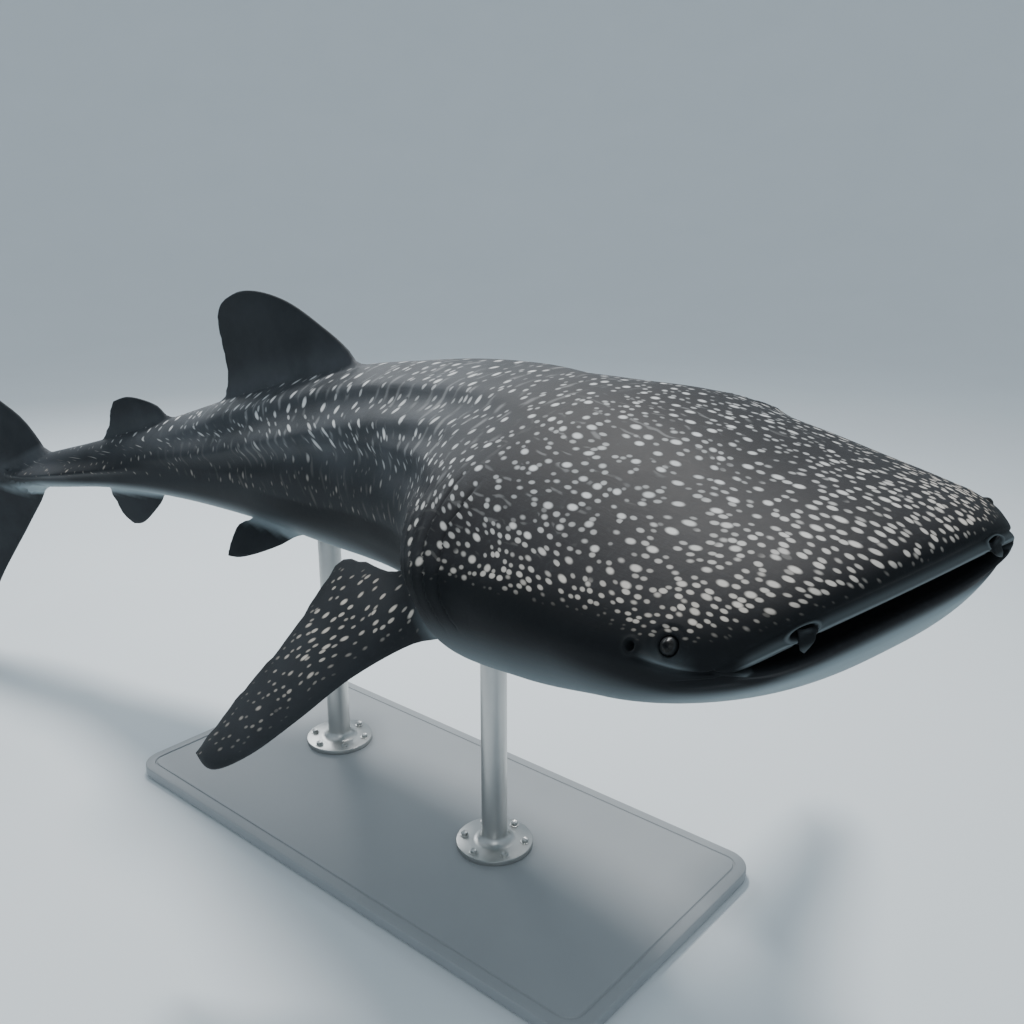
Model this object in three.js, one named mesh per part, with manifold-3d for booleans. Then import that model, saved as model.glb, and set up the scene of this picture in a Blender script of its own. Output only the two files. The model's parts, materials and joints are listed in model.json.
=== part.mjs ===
// A life-size display model of a whale shark, held in a swimming pose by a plain stand.
// Millimetres, +Z up. The shark faces +X and its left side is +Y.
import * as THREE from "three";
import { mergeVertices } from "three/addons/utils/BufferGeometryUtils.js";
import Module from "manifold-3d";

const wasm = await Module();
wasm.setup();

// Measures on the body are in per cent of the total length, as in a table of shark measures:
// s runs back from the snout, y to the left and z up from the body's axis.
const total_length = 7000;
const percent = total_length / 100;
const gap = 0.5 / percent; // between two neighbouring solids
const around = 32; // corners of one ring of the body
const [head_step, gill_step, trunk_step, tail_step] = [2.4, 2.2, 3.6, 2.9]; // most between two rings

// The body at a few stations: how far its top and its belly lie from the axis,
// its half width, and the height at which it is widest.
const stations = [
  { s: 7, top: 2.85, belly: 4.55, half: 9.1, waist: -0.84 },
  { s: 12, top: 4.0, belly: 5.65, half: 9.95, waist: -0.84 },
  { s: 18, top: 5.0, belly: 6.4, half: 10.3, waist: -0.8 },
  { s: 25, top: 5.75, belly: 6.55, half: 8.0, waist: -0.53 },
  { s: 34, top: 6.2, belly: 6.25, half: 6.7, waist: -0.2 },
  { s: 44, top: 6.0, belly: 5.6, half: 5.75, waist: 0 },
  { s: 54, top: 4.8, belly: 4.25, half: 4.2, waist: 0.1 },
  { s: 64, top: 3.3, belly: 2.75, half: 2.65, waist: 0.2 },
  { s: 72, top: 2.25, belly: 1.75, half: 1.65, waist: 0.3 },
  { s: 79, top: 1.65, belly: 1.35, half: 1.05, waist: 0.3 },
  { s: 83, top: 1.35, belly: 0.95, half: 0.62, waist: 0.3 },
  { s: 86, top: 0.75, belly: 0.15, half: 0.22, waist: 0.3 },
];
const upper_roundness = 1.83; // exponent of the section above the waist, 2 is an ellipse
const lower_roundness = 2.64;
const keel = { from: 62, full: 77, fade: 80, gone: 85.5, reach: 1.15, z: 0.25, thick: 0.42 };

// The mouth: a wide slit across the front, closed at its corners.
const mouth = { upper_z: -0.1, lower_z: -1.5, corner_z: -0.85, corner_y: 6.55, corner_s: 1.34 };
const mouth_form = { spread: 0.9, bow: 3, corner: 0.625, arch: 4 }; // exponents of its outline
const chin_back = 0.9; // how far the lower lip lies behind the upper one
const throat = { deep: 4.5, narrowing: 0.4, closing: 0.55, front_z: -0.8, back_z: -1.1 };
const front_end = stations[0].s;

// How the blunt snout swells out from the lips: the direction in which its skin leaves them,
// and how hard each end of it pulls.
const snout = { forward: 0.95, chin_forward: 0.63, side_back: 0.6, side_out: 0.8, chin_down: 0.9 };
const pull = { lips: 0.75, neck: 1.25 };

// Where the body is parted.
const gills_start = 13.9;
const trunk_start = 22.2;
const tail_start = 58;
const tail_end = 86;
const jaw_end = 12.4;
const jaw_top = -0.92;

// The swimming bend, in radians per cent of length behind the gills, and how the whole shark is held.
const straight_until = 21.5;
const bend_rate = 0.01714;
const bend_easing = -0.0000986;
const bank = THREE.MathUtils.degToRad(10.2);
const pitch = THREE.MathUtils.degToRad(-5.4);
const yaw = THREE.MathUtils.degToRad(-21.8);
const gill_point = new THREE.Vector3(1964, -329, 1830); // the axis at straight_until, in mm

// The stand.
const base = { x: 2800, y: 1300, high: 60, corner: 120, edge: 8, centre_x: 1020, centre_y: -180 };
const rod = { radius: 57, foot_radius: 170, foot_high: 24, fillet: 40 };
const rod_front_s = 29;
const rod_rear_s = 47;

const lerp = THREE.MathUtils.lerp;
const smooth = THREE.MathUtils.smoothstep;

// A smooth curve through the stations, as a cubic between each two.
function station_value(key, s) {
  let i = 0;
  while (i < stations.length - 2 && s > stations[i + 1].s) i += 1;
  const slope = (k) => {
    const a = stations[Math.max(k - 1, 0)];
    const b = stations[Math.min(k + 1, stations.length - 1)];
    return (b[key] - a[key]) / (b.s - a.s);
  };
  const [p, q] = [stations[i], stations[i + 1]];
  return cubic((s - p.s) / (q.s - p.s), p[key], q[key], slope(i) * (q.s - p.s), slope(i + 1) * (q.s - p.s));
}

// A cubic from a to b whose slopes at its ends are known.
function cubic(t, a, b, slope_a, slope_b) {
  const u = t * t * (3 - 2 * t);
  return a * (1 - u) + b * u + slope_a * t * (1 - t) ** 2 - slope_b * t * t * (1 - t);
}

// The angle round a section is 0 on the back, positive on the left and a half turn on the belly.
function section(s, angle, grow = 0) {
  const upper = Math.cos(angle) > 0;
  const power = 2 / (upper ? upper_roundness : lower_roundness);
  const high = Math.abs(Math.cos(angle)) ** power;
  const wide = Math.abs(Math.sin(angle)) ** power;
  const waist = station_value("waist", s);
  const half = station_value("half", s) + grow;
  const top = station_value("top", s) + grow;
  const belly = station_value("belly", s) + grow;
  const z = upper ? waist + (top - waist) * high : waist - (belly + waist) * high;
  const rise = smooth(s, keel.from, keel.full) * (1 - smooth(s, keel.fade, keel.gone));
  const ridge = keel.reach * rise * Math.exp(-(((z - keel.z) / keel.thick) ** 2));
  return new THREE.Vector3(s, Math.sign(Math.sin(angle)) * (half + ridge) * wide, z);
}

function lip(angle) {
  const out = Math.abs(Math.sin(angle)) ** mouth_form.spread;
  const bowed = 1 - out ** mouth_form.bow;
  const upper = Math.cos(angle) > 0;
  const back = mouth.corner_s * (1 - bowed ** mouth_form.corner) + (upper ? 0 : chin_back * bowed);
  const y = mouth.corner_y * out * Math.sign(Math.sin(angle));
  const z = lerp(upper ? mouth.upper_z : mouth.lower_z, mouth.corner_z, out ** mouth_form.arch);
  return new THREE.Vector3(back, y, z);
}

// The blunt front of the head, from the lips at t = 0 to the first station at t = 1.
function front(t, angle, grow = 0) {
  const start = lip(angle).add(new THREE.Vector3(-grow, 0, grow * Math.cos(angle)));
  const end = section(front_end, angle, grow);
  const step = 0.05;
  const along = section(front_end + step, angle, grow).sub(end).divideScalar(step);
  const length = start.distanceTo(end);
  const side = Math.sin(angle) ** 2;
  const upper = Math.cos(angle) > 0;
  const leave = new THREE.Vector3(
    -(upper ? snout.forward : snout.chin_forward) * (1 - side) + snout.side_back * side,
    Math.sin(angle) * snout.side_out * side,
    Math.cos(angle) * (upper ? 1 : snout.chin_down),
  ).multiplyScalar(pull.lips * length);
  along.multiplyScalar(pull.neck * length);
  return new THREE.Vector3(
    cubic(t, start.x, end.x, leave.x, along.x),
    cubic(t, start.y, end.y, leave.y, along.y),
    cubic(t, start.z, end.z, leave.z, along.z),
  );
}

// The inside of the mouth, from the lips at t = 0 to its back at t = 1.
function pocket(t, angle) {
  const p = lip(angle);
  const middle = lerp(throat.front_z, throat.back_z, t);
  return new THREE.Vector3(
    lerp(p.x, throat.deep, t),
    p.y * (1 - throat.narrowing * t),
    middle + (p.z - middle) * (1 - throat.closing * t),
  );
}

// The bent axis behind the gills, summed in small steps.
const axis_step = 0.25;
const axis = [new THREE.Vector2(0, 0)];
function heading(s) {
  const behind = Math.max(s - straight_until, 0);
  return bend_rate * behind + bend_easing * behind ** 2;
}
for (let s = straight_until; s < 102; s += axis_step) {
  const turn = heading(s + axis_step / 2);
  const step = new THREE.Vector2(Math.cos(turn), Math.sin(turn)).multiplyScalar(axis_step);
  axis.push(axis.at(-1).clone().sub(step));
}

const pose = new THREE.Matrix4()
  .makeRotationFromEuler(new THREE.Euler(bank, pitch, yaw, "ZYX"))
  .setPosition(gill_point);

// A point of the straight shark, brought to its place in the bent and tilted one.
// What grows stiffly from one station, as a paired fin does, is turned with that station.
function place(p, station = p.x) {
  const along = Math.max(station - straight_until, 0) / axis_step;
  const i = Math.min(Math.floor(along), axis.length - 2);
  const on_axis = axis[i].clone().lerp(axis[i + 1], along - i);
  on_axis.x += Math.max(straight_until - station, 0);
  const turn = heading(station);
  const offset = new THREE.Vector2(station - p.x, p.y).rotateAround(new THREE.Vector2(0, 0), turn);
  return new THREE.Vector3(on_axis.x + offset.x, on_axis.y + offset.y, p.z)
    .multiplyScalar(percent)
    .applyMatrix4(pose);
}

function to_solid(geometry) {
  const bare = geometry.clone();
  bare.deleteAttribute("normal");
  bare.deleteAttribute("uv");
  const merged = mergeVertices(bare, 1e-3);
  const triVerts = new Uint32Array(merged.index.array);
  const vertProperties = merged.attributes.position.array;
  const made = new wasm.Manifold(new wasm.Mesh({ numProp: 3, vertProperties, triVerts }));
  if (made.volume() > 0) return made;
  triVerts.reverse();
  return new wasm.Manifold(new wasm.Mesh({ numProp: 3, vertProperties, triVerts }));
}

// A closed solid through rings of the same number of points, each end closed by a fan.
function loft(rings) {
  const points = rings.flat();
  const n = rings[0].length;
  const faces = [];
  for (let r = 0; r < rings.length - 1; r += 1) {
    for (let k = 0; k < n; k += 1) {
      const [a, b] = [r * n + k, r * n + ((k + 1) % n)];
      faces.push(a, a + n, b, b, a + n, b + n);
    }
  }
  for (const end of [0, rings.length - 1]) {
    const centre = new THREE.Vector3();
    for (const p of rings[end]) centre.addScaledVector(p, 1 / n);
    points.push(centre);
    for (let k = 0; k < n; k += 1) {
      const [a, b] = [end * n + k, end * n + ((k + 1) % n)];
      faces.push(points.length - 1, ...(end === 0 ? [a, b] : [b, a]));
    }
  }
  const geometry = new THREE.BufferGeometry().setFromPoints(points);
  geometry.setIndex(faces);
  return to_solid(geometry);
}

function ring(make) {
  const points = [];
  for (let k = 0; k < around; k += 1) {
    points.push(place(make(((k + 0.5) / around) * 2 * Math.PI - Math.PI)));
  }
  return points;
}

// Stations from one place to another, evenly spaced and no further apart than asked.
function steps(from, to, most) {
  const count = Math.ceil((to - from) / most);
  return Array.from({ length: count + 1 }, (_, k) => lerp(from, to, k / count));
}

function body_rings(from, to, most, grow = 0) {
  return steps(from, to, most).map((s) => ring((angle) => section(s, angle, grow)));
}

// Grown a little, the head is only a cutter for what stands on it, and its mouth is closed.
function head_rings(to, grow = 0) {
  const inside = grow > 0 ? [] : [1, 0.5, 0.12].map((t) => ring((angle) => pocket(t, angle)));
  const outside = [0, 0.08, 0.2, 0.36, 0.54, 0.76, 1].map((t) => ring((angle) => front(t, angle, grow)));
  return [...inside, ...outside, ...body_rings(front_end, to, head_step, grow).slice(1)];
}

// A block between two stations, bent with the body, used to part it.
function block(s_from, s_to, y_from, y_to, z_from, z_to) {
  const slices = steps(s_from, s_to, 4).map((s) => [
    place(new THREE.Vector3(s, y_from, z_from)),
    place(new THREE.Vector3(s, y_to, z_from)),
    place(new THREE.Vector3(s, y_to, z_to)),
    place(new THREE.Vector3(s, y_from, z_to)),
  ]);
  return loft(slices);
}

// A fin is a stack of lens-shaped slices between its leading and its trailing edge.
// Both edges are curves through [back, out] points, and "to_place" puts such a point in the model.
function fin({ lead, trail, thick, tip_thick = 0.25, slices }, to_place) {
  const curve = (list) => new THREE.SplineCurve(list.map(([a, b]) => new THREE.Vector2(a, b)));
  const [front_edge, rear_edge] = [curve(lead), curve(trail)];
  const chord_steps = 5;
  const rings = [];
  for (let k = 0; k <= slices; k += 1) {
    const t = Math.min(Math.sin(((k / slices) * Math.PI) / 2) ** 1.2, 0.992);
    const a = front_edge.getPointAt(t);
    const b = rear_edge.getPointAt(t);
    const full = lerp(thick, tip_thick, t);
    const points = [];
    for (const side of [1, -1]) {
      for (let j = 0; j <= chord_steps; j += 1) {
        const c = (1 - Math.cos((Math.PI * j) / chord_steps)) / 2;
        const chord = side > 0 ? c : 1 - c;
        const belly = full * Math.sin(Math.PI * chord ** 0.7) * Math.min(1, a.distanceTo(b) / 2);
        const half = (0.09 + belly) / 2;
        points.push(to_place(lerp(a.x, b.x, chord), lerp(a.y, b.y, chord), side * half));
      }
    }
    rings.push(points);
  }
  return loft(rings);
}

// Fins on the midline: back is s and out is z.
const on_midline = (back, out, side) => place(new THREE.Vector3(back, side, out));

const first_dorsal = {
  lead: [[39.5, 4.6], [41.6, 7.3], [43.8, 9.0], [46.4, 10.65], [49, 11.62], [51.3, 11.95], [53.2, 11.6]],
  trail: [[54.2, 3.6], [56.5, 4.3], [55.3, 5.9], [54.9, 8], [54.7, 9.9], [54.1, 11.05], [53.2, 11.6]],
  thick: 1.0,
  slices: 14,
};
const second_dorsal = {
  lead: [[62.4, 2.2], [63.6, 3.95], [65, 4.86], [67.3, 5.5], [69.1, 5.3]],
  trail: [[69.6, 1.7], [71.6, 2.5], [70.5, 3.3], [69.9, 4.4], [69.1, 5.3]],
  thick: 0.5,
  slices: 10,
};
const anal = {
  lead: [[65.2, -1.4], [66.6, -2.9], [68.3, -4.1], [70.1, -5.1], [71.3, -5.15]],
  trail: [[71, -1], [73, -1.95], [72.5, -3], [72.2, -4.2], [71.3, -5.15]],
  thick: 0.5,
  slices: 10,
};
const caudal_upper = {
  lead: [[78, 0.4], [80, 4.2], [83, 7.3], [88, 12.1], [93.5, 16.4], [98, 19], [99.4, 19.2]],
  trail: [[86.8, 0.32], [88.3, 1.4], [89.9, 4.4], [92.2, 8.6], [95.4, 13.2], [98.8, 17.8], [99.4, 19.2]],
  thick: 1.0,
  slices: 13,
};
const caudal_lower = {
  lead: [[79.4, 0.2], [80.7, -1.6], [84, -4.5], [89.2, -8.8], [92.3, -11.8], [93.6, -12.7]],
  trail: [[86.8, 0.28], [88.4, -0.8], [89.9, -3.6], [91.7, -7.2], [93.8, -11.4], [93.6, -12.7]],
  thick: 0.9,
  slices: 12,
};

// A paired fin stands on a root point of the flank. "along" runs out to its tip and "across" backwards;
// both are directions of the straight shark's right side, as [back, out, up].
function paired(root, along, across, mirror) {
  const a = new THREE.Vector3(...along).normalize();
  const c = new THREE.Vector3(...across).normalize();
  const n = new THREE.Vector3().crossVectors(a, c).normalize();
  return (out, back, side) => {
    const p = new THREE.Vector3(...root).addScaledVector(a, out).addScaledVector(c, back);
    p.addScaledVector(n, side);
    return place(new THREE.Vector3(p.x, p.y * mirror, p.z), root[0]);
  };
}
const pectoral = {
  lead: [
    [-3, -0.8], [-0.4, -0.5], [1.9, 0.15], [5.9, 0.12],
    [9.5, -0.55], [13, -1.03], [15.8, -0.7], [17.1, 0.8],
  ],
  trail: [[-3, 4.3], [1.6, 4.25], [4.2, 6.3], [5.7, 7.35], [7.1, 6.7], [9.9, 4.6], [13.2, 3], [17.1, 0.8]],
  thick: 1.15,
  tip_thick: 0.35,
  slices: 14,
};
const pectoral_root = [20.3, 8.64, -4.2];
const pectoral_along = [0.617, 0.683, -0.391];
const pectoral_across = [0.744, -0.345, 0.572];
const pelvic = {
  lead: [[-2, 0.2], [0.8, 0.3], [2.6, 1], [4, 2.1], [4.5, 3.2]],
  trail: [[-2, 3.8], [0.5, 4.1], [1.6, 5.6], [2.9, 5], [4.5, 3.2]],
  thick: 0.5,
  slices: 10,
};
const pelvic_root = [46.8, 3.3, -4.4];
const pelvic_along = [0.42, 0.84, -0.34];
const pelvic_across = [1, -0.15, 0.25];
const barbel = {
  lead: [[-0.3, -0.34], [0.02, -0.32], [0.24, -0.1], [0.44, 0.2]],
  trail: [[-0.3, 0.26], [0.08, 0.3], [0.28, 0.32], [0.44, 0.2]],
  thick: 0.12,
  tip_thick: 0.06,
  slices: 5,
};
const barbel_root = [0.1, 4.3, -0.2];
const barbel_along = [-0.1, 0.05, -1];
const barbel_across = [0.25, 1, 0];

// Gill slits: five thin grooves on each side, from near the back down to the waist.
const gill_count = 5;
const gill = { first: 15.2, spacing: 1.28, lean: 0.42, top: 3.3, bottom: -1.4, deep: 0.42, wide: 0.14 };

function side_y(s, z) {
  let [low, high] = [0, Math.PI];
  for (let k = 0; k < 24; k += 1) {
    const middle = (low + high) / 2;
    if (section(s, middle).z > z) low = middle;
    else high = middle;
  }
  return section(s, low).y;
}

function gill_groove(index, mirror) {
  const levels = 6;
  const rings = [];
  for (let k = 0; k <= levels; k += 1) {
    const t = k / levels;
    const z = lerp(gill.bottom, gill.top, t);
    const s = gill.first + index * gill.spacing + gill.lean * (z - 1);
    const y = side_y(s, z);
    const bottom = y - 0.06 - gill.deep * Math.sin(Math.PI * t) ** 0.5;
    const corners = [[0, bottom], [gill.wide, bottom], [gill.wide, y + 1], [0, y + 1]];
    rings.push(corners.map(([back, out]) => place(new THREE.Vector3(s + back, out * mirror, z))));
  }
  return loft(rings);
}

// Eyes and spiracles sit at places on the front of the head, given as (t, angle).
const eye = { t: 0.458, angle: 1.22, radius: 0.37, depth: 0.2, segments: 12 };
const spiracle = { t: 0.625, angle: 1.32, radius: 0.3, depth: -0.12, segments: 10 };

function ball_on_head({ t, angle, radius, depth, segments }, mirror) {
  const h = 0.01;
  const p = front(t, angle * mirror);
  const down = front(t, angle * mirror + h).sub(p);
  const back = front(t + h, angle * mirror).sub(p);
  const outward = new THREE.Vector3().crossVectors(down, back).normalize();
  if (outward.y * mirror < 0) outward.negate();
  const centre = place(p.addScaledVector(outward, -depth));
  const ball = new THREE.SphereGeometry(radius * percent, segments, Math.ceil(segments * 0.7));
  return to_solid(ball.translate(centre.x, centre.y, centre.z));
}

// Colours, for a first look.
const skin_top = new THREE.MeshStandardMaterial({ color: 0x3b4148, roughness: 0.55, metalness: 0 });
const skin_pale = new THREE.MeshStandardMaterial({ color: 0x9fb2b8, roughness: 0.5, metalness: 0 });
const eye_dark = new THREE.MeshStandardMaterial({ color: 0x14161a, roughness: 0.1, metalness: 0 });
const steel = new THREE.MeshStandardMaterial({ color: 0x9a9da0, roughness: 0.35, metalness: 0.9 });
const painted = new THREE.MeshStandardMaterial({ color: 0xd9dbdc, roughness: 0.6, metalness: 0 });

const group = new THREE.Group();
function add(name, solid, material) {
  const made = solid.getMesh();
  const geometry = new THREE.BufferGeometry();
  geometry.setAttribute("position", new THREE.BufferAttribute(new Float32Array(made.vertProperties), 3));
  geometry.setIndex(new THREE.BufferAttribute(new Uint32Array(made.triVerts), 1));
  const mesh = new THREE.Mesh(geometry, material);
  mesh.name = name;
  group.add(mesh);
}

function build_body(sockets) {
  const under_mouth = [-4, jaw_end, -14, 14, -14, jaw_top];
  const shrunk = [-5, jaw_end - gap, -15, 15, -15, jaw_top - gap];
  const head = loft(head_rings(gills_start - gap / 2));
  let skull = head.subtract(block(...under_mouth));
  for (const socket of sockets) skull = skull.subtract(socket);
  add("head", skull, skin_top);
  add("lower_jaw", head.intersect(block(...shrunk)), skin_pale);
  let gills = loft(body_rings(gills_start + gap / 2, trunk_start - gap / 2, gill_step));
  for (const mirror of [1, -1]) {
    for (let k = 0; k < gill_count; k += 1) gills = gills.subtract(gill_groove(k, mirror));
  }
  add("gill_region", gills, skin_top);
  add("trunk", loft(body_rings(trunk_start + gap / 2, tail_start - gap / 2, trunk_step)), skin_top);
  add("tail", loft(body_rings(tail_start + gap / 2, tail_end, tail_step)), skin_top);
}

function build_eyes() {
  const sockets = [];
  for (const [side, mirror] of [["left", 1], ["right", -1]]) {
    add("eye_" + side, ball_on_head(eye, mirror), eye_dark);
    sockets.push(ball_on_head({ ...eye, radius: eye.radius + 2 * gap }, mirror));
    sockets.push(ball_on_head(spiracle, mirror));
  }
  return sockets;
}

function build_fins(body) {
  const whole = (shape, to_place) => fin(shape, to_place).subtract(body);
  add("first_dorsal_fin", whole(first_dorsal, on_midline), skin_top);
  add("second_dorsal_fin", whole(second_dorsal, on_midline), skin_top);
  add("anal_fin", whole(anal, on_midline), skin_top);
  const above = block(76, 101, -4, 4, 0.3 + gap, 30);
  const below = block(76, 101, -4, 4, -30, 0.3);
  add("caudal_fin_upper", whole(caudal_upper, on_midline).intersect(above), skin_top);
  add("caudal_fin_lower", whole(caudal_lower, on_midline).intersect(below), skin_top);
  for (const [side, mirror] of [["left", 1], ["right", -1]]) {
    const on_flank = paired(pectoral_root, pectoral_along, pectoral_across, mirror);
    const on_belly = paired(pelvic_root, pelvic_along, pelvic_across, mirror);
    const on_lip = paired(barbel_root, barbel_along, barbel_across, mirror);
    add("pectoral_fin_" + side, whole(pectoral, on_flank), skin_top);
    add("pelvic_fin_" + side, whole(pelvic, on_belly), skin_top);
    add("nasal_barbel_" + side, whole(barbel, on_lip), skin_top);
  }
}

function rounded_plate({ x, y, high, corner, edge }) {
  const [w, d] = [x / 2 - edge, y / 2 - edge];
  const outline = new THREE.Shape();
  outline.absarc(w - corner, d - corner, corner, 0, Math.PI / 2);
  outline.absarc(corner - w, d - corner, corner, Math.PI / 2, Math.PI);
  outline.absarc(corner - w, corner - d, corner, Math.PI, Math.PI * 1.5);
  outline.absarc(w - corner, corner - d, corner, Math.PI * 1.5, Math.PI * 2);
  return new THREE.ExtrudeGeometry(outline, {
    depth: high - 2 * edge,
    bevelEnabled: true,
    bevelThickness: edge,
    bevelSize: edge,
    bevelSegments: 1,
    curveSegments: 5,
  }).translate(0, 0, edge);
}

function build_stand(body) {
  const plate = rounded_plate(base).translate(base.centre_x, base.centre_y, 0);
  add("stand_base", to_solid(plate), painted);
  for (const [name, s] of [["stand_rod_front", rod_front_s], ["stand_rod_rear", rod_rear_s]]) {
    const top = place(new THREE.Vector3(s, 0, 0));
    const floor = base.high + gap * percent;
    const profile = [
      [0, floor],
      [rod.foot_radius, floor],
      [rod.foot_radius, floor + rod.foot_high],
      [rod.radius + rod.fillet, floor + rod.foot_high + 2],
      [rod.radius + 0.3 * rod.fillet, floor + rod.foot_high + 0.3 * rod.fillet],
      [rod.radius, floor + rod.foot_high + rod.fillet],
      [rod.radius, top.z],
      [0, top.z],
    ].map(([r, z]) => new THREE.Vector2(r, z));
    const turned = new THREE.LatheGeometry(profile, 20).rotateX(Math.PI / 2).translate(top.x, top.y, 0);
    add(name, to_solid(turned).subtract(body), steel);
  }
}

const body_cutter = loft([
  ...head_rings(gills_start, gap),
  ...body_rings(gills_start, trunk_start, gill_step, gap).slice(1),
  ...body_rings(trunk_start, tail_start, trunk_step, gap).slice(1),
  ...body_rings(tail_start, tail_end + gap, tail_step, gap).slice(1),
]);
build_body(build_eyes());
build_fins(body_cutter);
build_stand(body_cutter);

export default group;
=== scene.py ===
# %% [markdown]
# # A life-size whale shark, as a museum shows it
# The frame holds the solids at their real size and place. Everything here is dressed over that
# frame: one unbroken skin for the whole animal, two eyes, and the stand that carries it.
# Units are metres, +Z is up, the shark faces +X and its left side is +Y.

# %% Load the frame
import json
import math

import bpy
import numpy as np
from mathutils import Euler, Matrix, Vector
from mathutils.bvhtree import BVHTree
from mathutils.kdtree import KDTree

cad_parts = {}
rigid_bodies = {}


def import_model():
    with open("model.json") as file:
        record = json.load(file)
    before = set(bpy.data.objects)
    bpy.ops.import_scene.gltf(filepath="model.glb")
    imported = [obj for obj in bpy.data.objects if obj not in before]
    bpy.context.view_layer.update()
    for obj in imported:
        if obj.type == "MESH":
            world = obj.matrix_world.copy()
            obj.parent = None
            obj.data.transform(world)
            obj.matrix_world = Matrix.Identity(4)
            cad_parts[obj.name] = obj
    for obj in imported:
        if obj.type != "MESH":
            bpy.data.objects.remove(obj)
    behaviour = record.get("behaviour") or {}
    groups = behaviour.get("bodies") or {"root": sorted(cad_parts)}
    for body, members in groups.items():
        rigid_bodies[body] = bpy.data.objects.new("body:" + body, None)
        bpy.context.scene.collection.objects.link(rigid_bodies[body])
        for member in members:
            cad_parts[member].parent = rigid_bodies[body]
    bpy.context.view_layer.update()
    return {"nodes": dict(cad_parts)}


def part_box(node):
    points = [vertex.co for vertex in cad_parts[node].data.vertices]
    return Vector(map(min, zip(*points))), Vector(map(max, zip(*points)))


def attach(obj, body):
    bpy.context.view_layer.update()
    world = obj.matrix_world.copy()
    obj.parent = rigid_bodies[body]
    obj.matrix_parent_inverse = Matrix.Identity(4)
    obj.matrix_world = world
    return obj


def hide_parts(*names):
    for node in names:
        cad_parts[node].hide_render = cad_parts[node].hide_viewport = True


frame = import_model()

# %% [markdown]
# ## The camera
# The photo was taken from the right front, a little above the snout. The camera's place and lens
# come from matching the outline of the shark. It could be placed by eye, but then the
# foreshortening of so long a body would be wrong, so measured values are used.

# %% Place the camera
camera_place = Vector((4.0694, -3.1026, 2.8024))
camera_azimuth = math.radians(40.39)
camera_elevation = math.radians(17.02)
focal_pixels = 1021.9
image_pixels = 1024

camera_data = bpy.data.cameras.new("camera")
camera_data.sensor_width = 36
camera_data.lens = focal_pixels / image_pixels * camera_data.sensor_width
camera_data.clip_end = 200
camera = bpy.data.objects.new("camera", camera_data)
bpy.context.scene.collection.objects.link(camera)
towards_camera = Vector((
    math.sin(camera_azimuth) * math.cos(camera_elevation),
    -math.cos(camera_azimuth) * math.cos(camera_elevation),
    math.sin(camera_elevation),
))
camera.location = camera_place
camera.rotation_euler = towards_camera.to_track_quat("Z", "Y").to_euler()
bpy.context.scene.camera = camera
print("camera at", tuple(camera_place), "lens", round(camera_data.lens, 2))

# %% [markdown]
# ## Helpers
# Two small kits are used all through. One writes shader maths as plain Python: a class wraps a
# socket, and an expression on it adds the Math nodes, which would take a line each by hand. The
# other reads and sets the corners of a mesh, and deselects everything before an operator runs,
# because an operator acts on all that is selected.

# %% Shader maths as Python
class Wire:
    """A node's output socket that can be added, multiplied and so on."""

    def __init__(self, tree, socket):
        self.tree = tree
        self.socket = socket

    def maths(self, operation, *values):
        made = self.tree.nodes.new("ShaderNodeMath")
        made.operation = operation
        for slot, value in zip(made.inputs, values):
            plug(self.tree, value, slot)
        return Wire(self.tree, made.outputs[0])

    def __add__(self, other):
        return self.maths("ADD", self, other)

    def __radd__(self, other):
        return self.maths("ADD", other, self)

    def __sub__(self, other):
        return self.maths("SUBTRACT", self, other)

    def __rsub__(self, other):
        return self.maths("SUBTRACT", other, self)

    def __mul__(self, other):
        return self.maths("MULTIPLY", self, other)

    def __rmul__(self, other):
        return self.maths("MULTIPLY", other, self)

    def __truediv__(self, other):
        return self.maths("DIVIDE", self, other)

    def __pow__(self, other):
        return self.maths("POWER", self, other)

    def larger(self, other):
        return self.maths("MAXIMUM", self, other)

    def fraction(self):
        return self.maths("FRACT", self)

    def absolute(self):
        return self.maths("ABSOLUTE", self)

    def between(self, low, high, to_low=0.0, to_high=1.0):
        """Rises smoothly from to_low to to_high as this goes from low to high."""
        return make_node(
            self.tree, "MapRange", {"interpolation_type": "SMOOTHSTEP"},
            Value=self, From_Min=low, From_Max=high, To_Min=to_low, To_Max=to_high,
        )


def plug(tree, value, socket):
    if isinstance(value, Wire):
        tree.links.new(value.socket, socket)
    elif isinstance(value, (tuple, list)) and len(value) == 3 and len(socket.default_value) == 4:
        socket.default_value = (*value, 1.0)
    else:
        socket.default_value = value


def make_node(tree, kind, settings=None, pick=0, **inputs):
    """Adds a node, sets its settings, then its sockets: From_Min is the socket From Min, _0 the first."""
    made = tree.nodes.new("ShaderNode" + kind)
    for key, value in (settings or {}).items():
        setattr(made, key, value)
    open_sockets = [s for s in made.inputs if s.enabled]
    for key, value in inputs.items():
        name = key.replace("_", " ")
        found = [s for s in open_sockets if s.name == name]
        plug(tree, value, found[0] if found else open_sockets[int(key[1:])])
    outputs = [s for s in made.outputs if s.enabled]
    if isinstance(pick, str):
        return Wire(tree, next(s for s in outputs if s.name == pick))
    return Wire(tree, outputs[pick])


def new_material(name):
    """A new material with its node tree and its one shader."""
    material = bpy.data.materials.new(name)
    material.use_nodes = True
    tree = material.node_tree
    return material, tree, tree.nodes["Principled BSDF"]


def mix(tree, factor, a, b):
    """A Mix node for colours: a where factor is 0, b where it is 1."""
    made = tree.nodes.new("ShaderNodeMix")
    made.data_type = "RGBA"
    plug(tree, factor, made.inputs[0])
    plug(tree, a, made.inputs[6])
    plug(tree, b, made.inputs[7])
    return Wire(tree, made.outputs[2])


print("shader helpers ready")

# %% Helpers for modelling
def deselect():
    """Leaves edit mode and deselects everything, so that the next operator acts on nothing else."""
    if bpy.context.object and bpy.context.object.mode != "OBJECT":
        bpy.ops.object.mode_set(mode="OBJECT")
    bpy.ops.object.select_all(action="DESELECT")


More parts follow.
